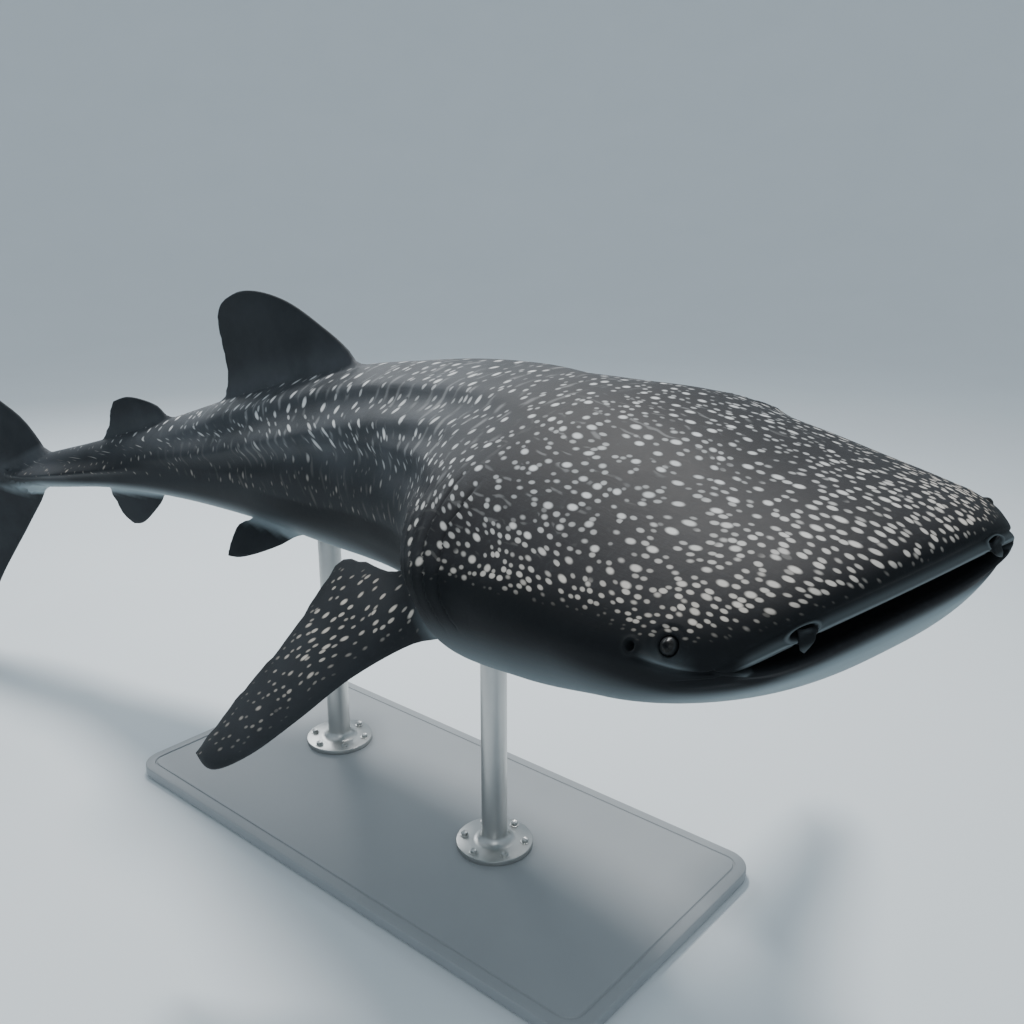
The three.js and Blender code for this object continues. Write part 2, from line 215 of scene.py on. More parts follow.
def only(piece):
    deselect()
    piece.select_set(True)
    bpy.context.view_layer.objects.active = piece


def edit(piece):
    only(piece)
    bpy.ops.object.mode_set(mode="EDIT")


def done():
    bpy.ops.object.mode_set(mode="OBJECT")


def corners_of(piece):
    """The corners of a mesh as an array of x, y, z."""
    flat = np.empty(len(piece.data.vertices) * 3)
    piece.data.vertices.foreach_get("co", flat)
    return flat.reshape(-1, 3)


def set_corners(piece, places):
    piece.data.vertices.foreach_set("co", np.asarray(places, float).ravel())
    piece.data.update()


def normals_of(piece):
    flat = np.empty(len(piece.data.vertices) * 3)
    piece.data.vertices.foreach_get("normal", flat)
    return flat.reshape(-1, 3)


def add_map(piece, name, values):
    """Stores two numbers per corner as a UV map, which lives on when meshes are joined."""
    layer = piece.data.uv_layers.get(name) or piece.data.uv_layers.new(name=name)
    owner = np.empty(len(piece.data.loops), int)
    piece.data.loops.foreach_get("vertex_index", owner)
    layer.uv.foreach_set("vector", np.asarray(values, float)[owner].ravel())


def drop_map(piece, name="UVMap"):
    piece.data.uv_layers.remove(piece.data.uv_layers[name])


def apply_modifier(piece, kind, **settings):
    modifier = piece.modifiers.new(kind.lower(), kind)
    for key, value in settings.items():
        setattr(modifier, key, value)
    only(piece)
    bpy.ops.object.modifier_apply(modifier=modifier.name)


def select_corners(piece, chosen):
    """Selects corners of the mesh in code, by an array of true and false."""
    for parts in (piece.data.polygons, piece.data.edges):
        parts.foreach_set("select", np.zeros(len(parts), bool))
    piece.data.vertices.foreach_set("select", np.asarray(chosen, bool))


print("modelling helpers ready")

# %% [markdown]
# ## The body's form
# A shark's body is a blunt head and a long tapering tail, round above and fuller below, so it is
# described as sections along an axis: how high the back and how low the belly lie, and how wide
# the section is. It could be sculpted by hand, but sections keep to the measures of the solids.
# Measures are in per cent of the total length, s from the snout back, y to the left, z up.

# %% Sections along the body
total_length = 7.0
percent = total_length / 100
station_columns = ("s", "top", "belly", "half", "waist")
stations = np.array([
    (7, 2.85, 4.55, 9.1, -0.84),
    (12, 4.0, 5.65, 9.95, -0.84),
    (18, 5.0, 6.4, 10.3, -0.8),
    (25, 5.75, 6.55, 8.0, -0.53),
    (34, 6.2, 6.25, 6.7, -0.2),
    (44, 6.0, 5.6, 5.75, 0),
    (54, 4.8, 4.25, 4.2, 0.1),
    (64, 3.3, 2.75, 2.65, 0.2),
    (72, 2.25, 1.75, 1.65, 0.3),
    (79, 1.65, 1.35, 1.05, 0.3),
    (83, 1.35, 0.95, 0.62, 0.3),
    (86, 0.75, 0.15, 0.22, 0.3),
])
upper_roundness = 1.83
lower_roundness = 2.64
keel = {"from": 62, "full": 77, "fade": 80, "gone": 85.5, "reach": 1.15, "z": 0.25, "thick": 0.42}


def smooth(x, low, high):
    """Rises from 0 to 1 as x goes from low to high."""
    t = np.clip((x - low) / (high - low), 0, 1)
    return t * t * (3 - 2 * t)


def bump(x, width):
    """1 where x is 0, and falling away on both sides over the width."""
    return np.exp(-(x / width) ** 2)


def cubic(t, a, b, slope_a, slope_b):
    """A smooth way from a to b that leaves and arrives with the given slopes."""
    u = t * t * (3 - 2 * t)
    return a * (1 - u) + b * u + slope_a * t * (1 - t) ** 2 - slope_b * t * t * (1 - t)


def station_value(name, s):
    """One column of the stations at any place s, smoothly between the rows."""
    x, y = stations[:, 0], stations[:, station_columns.index(name)]
    slope = np.gradient(y)
    slope[1:-1] = (y[2:] - y[:-2]) / (x[2:] - x[:-2])
    slope[0] = (y[1] - y[0]) / (x[1] - x[0])
    slope[-1] = (y[-1] - y[-2]) / (x[-1] - x[-2])
    i = np.clip(np.searchsorted(x, s) - 1, 0, len(x) - 2)
    span = x[i + 1] - x[i]
    return cubic((s - x[i]) / span, y[i], y[i + 1], slope[i] * span, slope[i + 1] * span)


def section(s, angle):
    """A point of the skin: angle 0 is the back, positive the left side, a half turn the belly."""
    upper = np.cos(angle) > 0
    power = 2 / np.where(upper, upper_roundness, lower_roundness)
    high = np.abs(np.cos(angle)) ** power
    wide = np.abs(np.sin(angle)) ** power
    waist, half = station_value("waist", s), station_value("half", s)
    top, belly = station_value("top", s), station_value("belly", s)
    z = np.where(upper, waist + (top - waist) * high, waist - (belly + waist) * high)
    rise = smooth(s, keel["from"], keel["full"]) * (1 - smooth(s, keel["fade"], keel["gone"]))
    ridge = keel["reach"] * rise * bump(z - keel["z"], keel["thick"])
    return np.stack([s, np.sign(np.sin(angle)) * (half + ridge) * wide, z], -1)


print("half width at the gills", round(float(station_value("half", np.array(18.0))) * percent, 3), "m")

# %% [markdown]
# The front of the head is a patch from the lips to the first section, and the mouth a shallow
# pocket behind the lips. Both start at the rim of the lips, so they meet there. The head could be
# pushed into shape corner by corner, but the patch joins the first section without a kink.

# %% The front of the head and the mouth
mouth = {"upper_z": -0.1, "lower_z": -1.5, "corner_z": -0.85, "corner_y": 6.55, "corner_s": 1.34}
mouth_form = {"spread": 0.9, "bow": 3, "corner": 0.625, "arch": 4}
chin_back = 0.9
throat = {"deep": 4.5, "narrowing": 0.4, "closing": 0.55, "front_z": -0.8, "back_z": -1.1}
snout = {"forward": 0.95, "chin_forward": 0.63, "side_back": 0.6, "side_out": 0.8, "chin_down": 0.9}
pull = {"lips": 0.75, "neck": 1.25}
front_end = 7.0


def lerp(a, b, t):
    return a + (b - a) * t


def lip(angle):
    """A point of the edge of the mouth."""
    out = np.minimum(np.abs(np.sin(angle)) ** mouth_form["spread"], 1)
    bowed = 1 - out ** mouth_form["bow"]
    upper = np.cos(angle) > 0
    back = mouth["corner_s"] * (1 - bowed ** mouth_form["corner"]) + np.where(upper, 0, chin_back * bowed)
    middle = np.where(upper, mouth["upper_z"], mouth["lower_z"])
    y = mouth["corner_y"] * out * np.sign(np.sin(angle))
    return np.stack([back, y, lerp(middle, mouth["corner_z"], out ** mouth_form["arch"])], -1)


def front(t, angle):
    """A point between the lips, where t is 0, and the first section, where t is 1."""
    start, end = lip(angle), section(np.full_like(angle, front_end), angle)
    step = 0.05
    along = (section(np.full_like(angle, front_end + step), angle) - end) / step
    length = np.linalg.norm(end - start, axis=-1)[..., None]
    side = np.sin(angle) ** 2
    upper = np.cos(angle) > 0
    leave = np.stack([
        -np.where(upper, snout["forward"], snout["chin_forward"]) * (1 - side) + snout["side_back"] * side,
        np.sin(angle) * snout["side_out"] * side,
        np.cos(angle) * np.where(upper, 1, snout["chin_down"]),
    ], -1)
    slopes = leave * pull["lips"] * length, along * pull["neck"] * length
    return cubic(np.asarray(t)[..., None], start, end, *slopes)


def pocket(t, angle):
    """A point of the mouth's inside, from the lips back to the throat."""
    p = lip(angle)
    middle = lerp(throat["front_z"], throat["back_z"], t)
    x = lerp(p[..., 0], throat["deep"], t)
    y = p[..., 1] * (1 - throat["narrowing"] * t)
    return np.stack([x, y, middle + (p[..., 2] - middle) * (1 - throat["closing"] * t)], -1)


print("mouth", round(2 * mouth["corner_y"] * percent, 2), "m wide")

# %% [markdown]
# The shark swims with its tail swung to its right, a little banked and nose up. Each point of the
# straight body is carried along a bent axis, then the whole is turned and lifted to its place.
# A bone or curve rig could bend it too, but this repeats exactly what the solids do.

# %% Bend and place
straight_until = 21.5
bend_rate = 0.01714
bend_easing = -0.0000986
turned = Euler([math.radians(a) for a in (10.2, -5.4, -21.8)], "XYZ").to_matrix()
gill_point = np.array([1.964, -0.329, 1.830])
axis_step = 0.25


def heading(s):
    """How far the axis has turned to the right at station s."""
    behind = np.maximum(s - straight_until, 0)
    return bend_rate * behind + bend_easing * behind ** 2


axis_end = 102
axis_s = np.arange(straight_until, axis_end + axis_step, axis_step)
middles = heading(axis_s[:-1] + axis_step / 2)
axis_x = np.concatenate([[0], -np.cumsum(np.cos(middles)) * axis_step])
axis_y = np.concatenate([[0], -np.cumsum(np.sin(middles)) * axis_step])


def place(p, station=None):
    """Carries points (s, y, z) of the straight shark to their place, in metres."""
    station = p[..., 0] if station is None else np.full(p.shape[:-1], float(station))
    x = np.interp(station, axis_s, axis_x) + np.maximum(straight_until - station, 0)
    y = np.interp(station, axis_s, axis_y)
    turn = heading(station)
    ahead = station - p[..., 0]
    bent = np.stack([
        x + ahead * np.cos(turn) - p[..., 1] * np.sin(turn),
        y + ahead * np.sin(turn) + p[..., 1] * np.cos(turn),
        p[..., 2],
    ], -1)
    return bent * percent @ np.array(turned).T + gill_point


print("snout at", place(np.array([0.0, 0, 0])).round(3))

# %% [markdown]
# ## Folds and edges of the skin
# Ridges, gill slits, lips and folds are small changes of height on that smooth form. They could be
# sculpted, but each follows a plain rule, so each is a function that says how far the skin stands
# out, in per cent, at a place of the straight shark. One pass then moves every corner of the skin
# along its normal.

# %% Ridges of the back and flank
# Each ridge starts behind the head and is given by the angle of its lower edge at two stations.
ridges = [
    {"from": (22.0, 0.36), "to": (45.0, 0.66), "end": 66, "tall": 0.24},
    {"from": (23.5, 0.70), "to": (42.0, 1.08), "end": 64, "tall": 0.26},
    {"from": (21.0, 0.92), "to": (52.0, 1.28), "end": 74, "tall": 0.30},
]
# Over the lower edge the crest falls away gently above and steeply below, to a shallow hollow.
ridge_form = {"crest": 0.35, "above": 0.95, "below": 0.42, "hollow": 0.3, "under": 0.75, "hollow_wide": 0.6,
              "rise": 4, "fade": 14}


def ridge_angle(ridge, s):
    (s0, a0), (s1, a1) = ridge["from"], ridge["to"]
    return a0 + (a1 - a0) * (s - s0) / (s1 - s0)


def ridge_height(s, angle):
    total = np.zeros_like(s)
    radius = 0.5 * (station_value("half", s) + station_value("top", s))
    for ridge in ridges:
        over_edge = (ridge_angle(ridge, s) - np.abs(angle)) * radius
        over_crest = over_edge - ridge_form["crest"]
        crest = bump(over_crest, np.where(over_crest > 0, ridge_form["above"], ridge_form["below"]))
        hollow = ridge_form["hollow"] * bump(over_edge + ridge_form["under"], ridge_form["hollow_wide"])
        start, end = ridge["from"][0], ridge["end"]
        shown = smooth(s, start - ridge_form["rise"], start + ridge_form["rise"])
        shown = shown * (1 - smooth(s, end - ridge_form["fade"], end))
        total += ridge["tall"] * shown * (crest - hollow)
    return total


print(len(ridges), "ridges on each side")

# %% Gill slits and the swelling over them
gill = {"count": 5, "first": 15.2, "spacing": 1.28, "lean": 0.42, "top": 3.5, "bottom": -2.3, "deep": 0.5,
        "wide": 0.15, "flap": 0.20, "flap_long": 0.42, "longest": 1.2, "shorter": 0.25, "wave": 0.05,
        "fade_low": 1.1, "fade_high": 1.3}
gill_swellings = [{"s": 17.2, "angle": 0.95, "long": 3.0, "tall": 0.24},
                  {"s": 17.6, "angle": 1.95, "long": 2.4, "tall": 0.08}]


def from_gill(s, z, i):
    """How far behind gill slit i a point lies, and how much of the slit shows at its height."""
    line = gill["first"] + i * gill["spacing"] + gill["lean"] * (z - 1)
    shorter = gill["shorter"] * abs(i - gill["longest"])
    top, bottom = gill["top"] - shorter, gill["bottom"] + shorter
    level = smooth(z, bottom, bottom + gill["fade_low"]) * (1 - smooth(z, top - gill["fade_high"], top))
    return s - line + gill["wave"] * np.sin(3.1 * z + i), level


def gill_height(s, z):
    total = np.zeros_like(s)
    for i in range(gill["count"]):
        behind, level = from_gill(s, z, i)
        flap = np.where(behind < 0, np.exp(behind / gill["flap_long"]), 0)
        slit = np.where(behind > 0, np.exp(-behind / gill["wide"]) * smooth(behind, -0.001, 0.03), 0)
        total += level * (flap * gill["flap"] - slit * gill["deep"])
    return total


def gill_shadow(s, z):
    """1 in the dark of a gill slit."""
    slits = [from_gill(s, z, i) for i in range(gill["count"])]
    return np.max([level * bump(behind - 0.10, 0.13) for behind, level in slits], axis=0)


def swelling_height(s, angle):
    """The gill chambers stand out behind the head, and the flank falls in behind them."""
    return sum(w["tall"] * bump(s - w["s"], w["long"]) * bump(np.abs(angle) - w["angle"], 0.5)
               for w in gill_swellings)


print(gill["count"], "gill slits on each side")

# %% Lips and the folds at the corners of the mouth
lip_rim = {"upper": 0.09, "lower": 0.16, "wide": 0.045, "lower_at_corner": 0.6}
lip_groove = {"upper": 0.07, "lower": 0.05, "t": 0.10, "wide": 0.03}


def lip_height(inside, t, angle):
    """A rounded rim along both lips, fuller below. inside is 1 in the mouth."""
    upper = np.cos(angle) > 0
    corner = np.abs(np.sin(angle)) ** 12
    rim = np.where(upper, lip_rim["upper"], lip_rim["lower"]) * (1 - lip_rim["lower_at_corner"] * corner)
    groove = np.where(upper, lip_groove["upper"], lip_groove["lower"])
    groove = groove * bump(t - lip_groove["t"], lip_groove["wide"]) * (1 - inside)
    return rim * bump(t, lip_rim["wide"]) - groove


# The fold that runs from the corner of the mouth back under the eye, as (s, z).
fold_line = np.array([(1.1, -0.80), (1.9, -0.76), (2.8, -0.65), (3.7, -0.48), (4.6, -0.32)])
side_of_head = 5.5  # folds lie only further out than this


def on_fold(s, y, z):
    """How far above the fold's line a point lies, and how much of the fold shows there."""
    shown = smooth(s, 1.2, 2.0) * (1 - smooth(s, 3.5, 4.4)) * (np.abs(y) > side_of_head)
    return z - np.interp(s, fold_line[:, 0], fold_line[:, 1]), shown


def fold_height(s, y, z):
    above, shown = on_fold(s, y, z)
    return shown * (0.07 * bump(above - 0.06, 0.11) - 0.08 * bump(above + 0.09, 0.08))


def corner_height(s, y, z):
    """A short furrow behind the corner of the mouth, on the lower jaw."""
    line = -1.08 - 0.10 * (s - 1.3)
    shown = smooth(s, 0.9, 1.5) * (1 - smooth(s, 2.2, 3.2)) * (np.abs(y) > side_of_head)
    return shown * (0.05 * bump(z - line + 0.16, 0.12) - 0.09 * bump(z - line, 0.06))


print("fold under the eye", len(fold_line), "points")

# %% Eyes, spiracles and nostrils
eye = {"t": 0.458, "angle": 1.22, "radius": 0.37, "depth": 0.2, "socket": 0.40, "lid": 0.03, "swell": 0.11,
       "crease": 0.02}
spiracle = {"t": 0.625, "angle": 1.32, "radius": 0.15, "deep": 0.28, "rim": 0.04}
nostril = {"t": 0.06, "y": 4.36, "wide": 0.46, "high": 0.27, "deep": 0.26, "rim": 0.09}


def on_head(spot, side):
    return front(np.array([spot["t"]]), np.array([spot["angle"] * side]))[0]


def from_spot(p, spot):
    """How far each point lies from a spot on the head, on either side of it."""
    mirrored = np.stack([p[..., 0], np.abs(p[..., 1]), p[..., 2]], -1)
    return np.linalg.norm(mirrored - on_head(spot, 1), axis=-1)


def eye_height(p):
    """A socket for the ball, a thick lid round it, and a low swelling with a crease."""
    away = from_spot(p, eye)
    past_edge = away - eye["radius"]
    socket = eye["socket"] * (1 - smooth(past_edge, -0.11, 0.02))
    lid = eye["lid"] * bump(past_edge - 0.08, 0.10)
    swell = eye["swell"] * bump(away, 1.1) * smooth(past_edge, 0, 0.4)
    crease = eye["crease"] * bump(past_edge - 0.28, 0.07)
    return lid + swell - socket - crease


def spiracle_height(p):
    past_edge = from_spot(p, spiracle) - spiracle["radius"]
    hole = spiracle["deep"] * (1 - smooth(past_edge, -0.08, 0.05))
    return spiracle["rim"] * bump(past_edge - 0.12, 0.08) - hole


def from_nostril(t, p):
    """How far a point of the upper lip lies from a nostril's middle: 1 at the edge of its hollow."""
    across = (np.abs(p[..., 1]) - nostril["y"]) / nostril["wide"]
    up = (t - nostril["t"]) * front_end / nostril["high"]
    here = (t >= 0) & (p[..., 0] < 3.5) & (p[..., 2] > -0.9)
    return np.where(here, np.hypot(across, up), 9)


def nostril_height(t, p):
    """An oval hollow in the upper lip, with a raised rim; the barbel hangs before it."""
    away = from_nostril(t, p)
    return nostril["rim"] * bump(away - 1.2, 0.3) - nostril["deep"] * (1 - smooth(away, 0.5, 1.05))


print("eye seat on the straight shark", on_head(eye, -1).round(2))

# %% [markdown]
# ## The skin of head, trunk and tail
# The skin starts as a flat sheet, one side along the body and the other round it. A sheet gives
# clean rows of faces and a ready-made UV map, where a sphere would pinch at its poles. Its rows are
# set closer where the gills and lips are, the faces at the eyes and nostrils are subdivided while
# it is still flat, and then it is wrapped round the sections and its edges are merged.

# %% A flat sheet for the body
# Row numbers: 0 to 1 is the pocket of the mouth, 1 to 2 the front, and past 2 each row is one per
# cent of length behind the front. Each entry is (from, to, how many faces).
row_plan = [(0, 1, 9), (1, 1.2, 24), (1.2, 2, 50), (2, 8.9, 34), (8.9, 17.2, 84), (17.2, 35, 60),
            (35, 53, 44), (53, 81, 62)]
angle_plan = [(0, 1.0, 26), (1.0, 1.75, 36), (1.75, math.pi, 27)]


def spaced(plan):
    """Places from one end of a plan to the other, each stretch with its own number of steps."""
    values = [plan[0][0]]
    for low, high, count in plan:
        values.extend(np.linspace(low, high, count + 1)[1:])
    return np.array(values)


rows = spaced(row_plan)
half_angles = spaced(angle_plan)
angles = np.concatenate([-half_angles[:0:-1], half_angles])


def straight(row, angle):
    """The place on the straight shark of a point of the sheet."""
    inside = row < 1
    t = np.where(inside, 1 - row, np.clip(row - 1, 0, 1))
    on_front = np.where(inside[..., None], pocket(t, angle), front(t, angle))
    behind = section(np.maximum(row, 2) + front_end - 2, angle)
    return np.where((row < 2)[..., None], on_front, behind)


def flat_sheet(name, across, up):
    """Adds a flat grid whose corners stand at the given places."""
    deselect()
    bpy.ops.mesh.primitive_grid_add(x_subdivisions=len(across) - 1, y_subdivisions=len(up) - 1, size=2)
    piece = bpy.context.object
    piece.name = name
    flat = corners_of(piece)
    column = np.rint((flat[:, 0] + 1) / 2 * (len(across) - 1)).astype(int)
    line = np.rint((flat[:, 1] + 1) / 2 * (len(up) - 1)).astype(int)
    assert len(flat) == len(across) * len(up)
    set_corners(piece, np.stack([across[column], up[line], np.zeros(len(flat))], -1))
    return piece


skin = flat_sheet("skin", rows, angles)
print("sheet of", len(rows), "rows and", len(angles), "lines")

# %% Finer faces at the eyes, spiracles and nostrils
def subdivide_where(piece, test):
    """Subdivides the faces whose middle passes the test, while the sheet is still flat."""
    middle = np.empty(len(piece.data.polygons) * 3)
    piece.data.polygons.foreach_get("center", middle)
    row, angle = middle.reshape(-1, 3)[:, 0], middle.reshape(-1, 3)[:, 1]
    edit(piece)
    bpy.ops.mesh.select_mode(type="FACE")
    bpy.ops.mesh.select_all(action="DESELECT")
    done()
    piece.data.polygons.foreach_set("select", test(row, straight(row, angle)))
    edit(piece)
    bpy.ops.mesh.subdivide(number_cuts=1)
    done()


def near_nostril(row, p, reach):
    across = np.abs(np.abs(p[:, 1]) - nostril["y"])
    return (across < reach) & (np.abs(row - 1 - nostril["t"]) < 0.15 * reach) & (p[:, 2] > -1)


def near_features(row, p):
    near_eye = from_spot(p, eye) < 1.0
    near_hole = from_spot(p, spiracle) < 0.4
    above_fold, shown = on_fold(p[:, 0], p[:, 1], p[:, 2])
    near_fold = (shown > 0) & (np.abs(above_fold) < 0.3) & (row > 1) & (row < 2)
    return near_eye | near_hole | near_fold | near_nostril(row, p, 1.0)


def near_openings(row, p):
    return (from_spot(p, eye) < 0.65) | (from_spot(p, spiracle) < 0.3) | near_nostril(row, p, 0.7)


subdivide_where(skin, near_features)
subdivide_where(skin, near_openings)
flat = corners_of(skin)
row, angle = flat[:, 0], flat[:, 1]
print("corners after subdividing", len(flat))

# %% [markdown]
# ## Where the markings lie
# A whale shark's spots are small and crowded at the snout and grow towards the trunk, so the
# pattern needs its own map: how many spots fit from the snout to here, and how many from the
# middle of the back. Three more maps tell where spots and bars show, and how dark the ground is,
# with painted shade on the lower flank, under the lips and in the gill slits, and painted highlights
# on the edges of the lip, nostrils and fold.
# They could be painted by hand, but worked out from the form they have no seam and no stray edge.

# %% Maps for the markings
# The distance between two large spots in per cent of length, along the body, by station.
spot_stations = [0, 4, 8, 14, 20, 28, 45, 65, 90]
spot_spacing = [0.86, 1.0, 1.14, 1.26, 1.36, 1.8, 2.1, 1.7, 1.2]
across_share = 0.76  # the rows round the body are closer than the columns along it
crowding = {"along": 0.10, "across": 0.20}  # how much closer the spots stand on the cheeks


def cheek(s, angle):
    """1 on the lower sides of the head, where the spots crowd."""
    return smooth(np.abs(angle), 0.70, 1.20) * (1 - smooth(s, 11, 19))


def spacing_at(s, angle, tighter):
    return np.interp(s, spot_stations, spot_spacing) * (1 - tighter * cheek(s, angle))


grid = straight(rows[:, None] + 0 * angles, angles + 0 * rows[:, None])
row_s = np.where(rows < 2, np.maximum(rows - 1, 0) * front_end, rows + front_end - 2)[:, None]
between_rows = np.linalg.norm(np.diff(grid, axis=0), axis=-1).mean(1)[:, None]
along_steps = between_rows / spacing_at(row_s[1:], angles, crowding["along"])
flow_along = np.concatenate([np.zeros((1, len(angles))), np.cumsum(along_steps, 0)])
between_lines = np.linalg.norm(np.diff(grid, axis=1), axis=-1)
across_steps = between_lines / spacing_at(row_s, angles[1:], crowding["across"]) / across_share
flow_across = np.concatenate([np.zeros((len(rows), 1)), np.cumsum(across_steps, 1)], 1)
flow_across = flow_across - flow_across[:, [len(angles) // 2]]


def from_grid(values, row, angle):
    """Reads a table of one number per row and line at any place between them."""
    i = np.clip(np.searchsorted(rows, row, side="right") - 1, 0, len(rows) - 2)
    j = np.clip(np.searchsorted(angles, angle, side="right") - 1, 0, len(angles) - 2)
    a = (row - rows[i]) / (rows[i + 1] - rows[i])
    b = (angle - angles[j]) / (angles[j + 1] - angles[j])
    low = lerp(values[i, j], values[i, j + 1], b)
    high = lerp(values[i + 1, j], values[i + 1, j + 1], b)
    return lerp(low, high, a)


edge_stations = [5, 8, 11, 14, 22, 40, 60, 86]
edge_heights = [0.38, 0.46, 0.42, 0.3, -0.6, -1.2, -0.5, 0.1]


def spot_edge(p):
    """The height below which no spots show."""
    s, y = p[..., 0], p[..., 1]
    at_front = 0.80 - 0.015 * y ** 2
    return lerp(at_front, np.interp(s, edge_stations, edge_heights), smooth(s, 2.5, 6))


# How high the pale belly reaches at each station, and over what height it fades into the flank.
belly_stations = [0, 3, 5, 8, 16, 22, 30, 50, 66, 80]
belly_top = [-1.6, -1.55, -1.1, -0.7, -1.3, -2.9, -3.0, -2.2, -1.1, -0.3]
belly_fade = [0.28, 1.2, 2.8, 4.2, 4.6, 3.8, 3.4, 2.6, 1.3, 0.9]


def belly_share(p):
    """1 on the pale underside, 0 on the dark flank."""
    s, z = p[..., 0], p[..., 2]
    top = np.interp(s, belly_stations, belly_top)
    return smooth(top - z, 0, np.interp(s, belly_stations, belly_fade))


def body_marks(row, p):
    """Where spots show, fainter in the painted shade low on the trunk's flank and in the gill slits, and
    where pale bars stand between them.
    """
    s, z = p[..., 0], p[..., 2]
    above_edge = z - spot_edge(p)
    spots = smooth(above_edge, -0.15, 0.35) * (row > 1)
    # Spots fade low on the trunk's flank: painted shade of the lower flank.
    fainter_in_flank_shade = 1 - 0.62 * smooth(s, 19, 26) * smooth(3.6 - z, 0, 2.4)
    spots = spots * fainter_in_flank_shade * (1 - gill_shadow(s, z))
    bars = smooth(s, 16, 20) * (1 - smooth(s, 52, 66)) * smooth(above_edge, -0.6, 0.8)
    return np.stack([spots, bars], -1)


def lip_edge(row, p):
    """A painted highlight along the edge of the upper lip and round the nostrils' rims."""
    on_lip = (row >= 1) & (row < 1.4) & (p[..., 2] > mouth["corner_z"] - 0.2)
    hollow = from_nostril(row - 1, p)
    edge = on_lip * (0.42 * bump(row - 1.012, 0.010) + 0.16 * bump(row - 1.045, 0.035))
    edge = edge * (1 - smooth(np.abs(p[..., 1]), 5.9, 6.5))
    return np.maximum(edge * smooth(hollow, 0.8, 1.2), 0.30 * bump(hollow - 1.2, 0.2))


def fold_edge(p):
    """A painted highlight on the upper side of the fold behind the mouth."""
    s = p[..., 0]
    above_fold, shown = on_fold(s, p[..., 1], p[..., 2])
    crease = shown * smooth(s, 1.8, 2.6) * (1 - smooth(s, 3.0, 4.0))
    return crease * (0.22 * bump(above_fold - 0.05, 0.06) + 0.10 * bump(above_fold - 0.1, 0.3))


def body_tones(row, p):
    """How pale the ground is, with painted highlights on the lip, nostril and fold edges, and how far it
    belongs to the darkest band along the flank, which is partly painted shade.
    """
    s, z = p[..., 0], p[..., 2]
    pale = belly_share(p) * (row > 1.01)
    # The band below the spots is partly the dark side of the head and partly painted shade, under the lips
    # and low on the flank.
    below = spot_edge(p) - z
    band_and_shade = smooth(below, -0.8, 0.15) * (1 - 0.45 * smooth(below, 0.7, 2.4))
    band_and_shade = band_and_shade * (1 - pale) * (0.55 + 0.45 * (1 - smooth(s, 40, 60)))
    # Low on the trunk's flank the ground darkens further: painted shade of the lower flank under the
    # ridges.
    lower_flank_shade = 0.75 * smooth(s, 20, 28) * (1 - smooth(s, 74, 80)) * smooth(2.6 - z, 0, 2.2)
    band_and_shade = np.maximum(np.maximum(band_and_shade, lower_flank_shade * (1 - pale)), gill_shadow(s, z))
    # Painted highlights on the lit edges of the upper lip, the nostrils' rims and the fold behind the
    # mouth.
    painted_edge_highlights = np.where(row < 2, np.maximum(lip_edge(row, p), fold_edge(p)), 0)
    return np.stack([np.maximum(pale, painted_edge_highlights), band_and_shade], -1)


def crowd_map(row, angle, p):
    """How crowded the small spots are, and how far short lines run between the spots."""
    s = p[..., 0]
    crowd = np.maximum(1 - smooth(s, 1.5, 8.5), cheek(s, angle))
    lined = smooth(s, 7, 12) * (1 - smooth(s, 15, 19)) * (1 - cheek(s, angle)) * (row > 1)
    return np.stack([crowd, lined], -1)


place_range = {"length": 100, "height": 30, "lowest": -15}


def place_map(p):
    """The station and the height, brought into the range from 0 to 1."""
    high = (p[..., 2] - place_range["lowest"]) / place_range["height"]
    return np.stack([p[..., 0] / place_range["length"], high], -1)


body = straight(row, angle)
flow = np.stack([from_grid(flow_along, row, angle), from_grid(flow_across, row, angle)], -1)
add_map(skin, "Flow", flow)
add_map(skin, "Place", place_map(body))
add_map(skin, "Marks", body_marks(row, body))
add_map(skin, "Tones", body_tones(row, body))
add_map(skin, "Crowd", crowd_map(row, angle, body))
drop_map(skin)
print("spots from snout to tail", round(float(flow_along[-1].max())), "and round the gills",
      round(float(np.ptp(flow_across[np.argmin(abs(row_s[:, 0] - 18))]))))

# %% Wrap the sheet, merge its edges and raise the folds
def keep_number(piece, name, values):
    """Keeps a number with each corner, so that it lives on when corners are merged."""
    attribute = piece.data.attributes.new(name, "FLOAT", "POINT")
    attribute.data.foreach_set("value", np.asarray(values, np.float32))


def take_number(piece, name):
    attribute = piece.data.attributes[name]
    values = np.empty(len(attribute.data), np.float32)
    attribute.data.foreach_get("value", values)
    piece.data.attributes.remove(attribute)
    return values.astype(float)


def merge_and_close(piece):
    """Merges the edges that meet and closes the open ends with a face each."""
    edit(piece)
    bpy.ops.mesh.select_mode(type="VERT")
    bpy.ops.mesh.select_all(action="SELECT")
    bpy.ops.mesh.remove_doubles(threshold=1e-5)
    bpy.ops.mesh.select_all(action="DESELECT")
    bpy.ops.mesh.select_non_manifold(extend=False, use_wire=False, use_boundary=True,
                                     use_multi_face=False, use_non_contiguous=False, use_verts=False)
    bpy.ops.mesh.edge_face_add()
    bpy.ops.mesh.select_all(action="SELECT")
    bpy.ops.mesh.normals_make_consistent(inside=False)
    done()


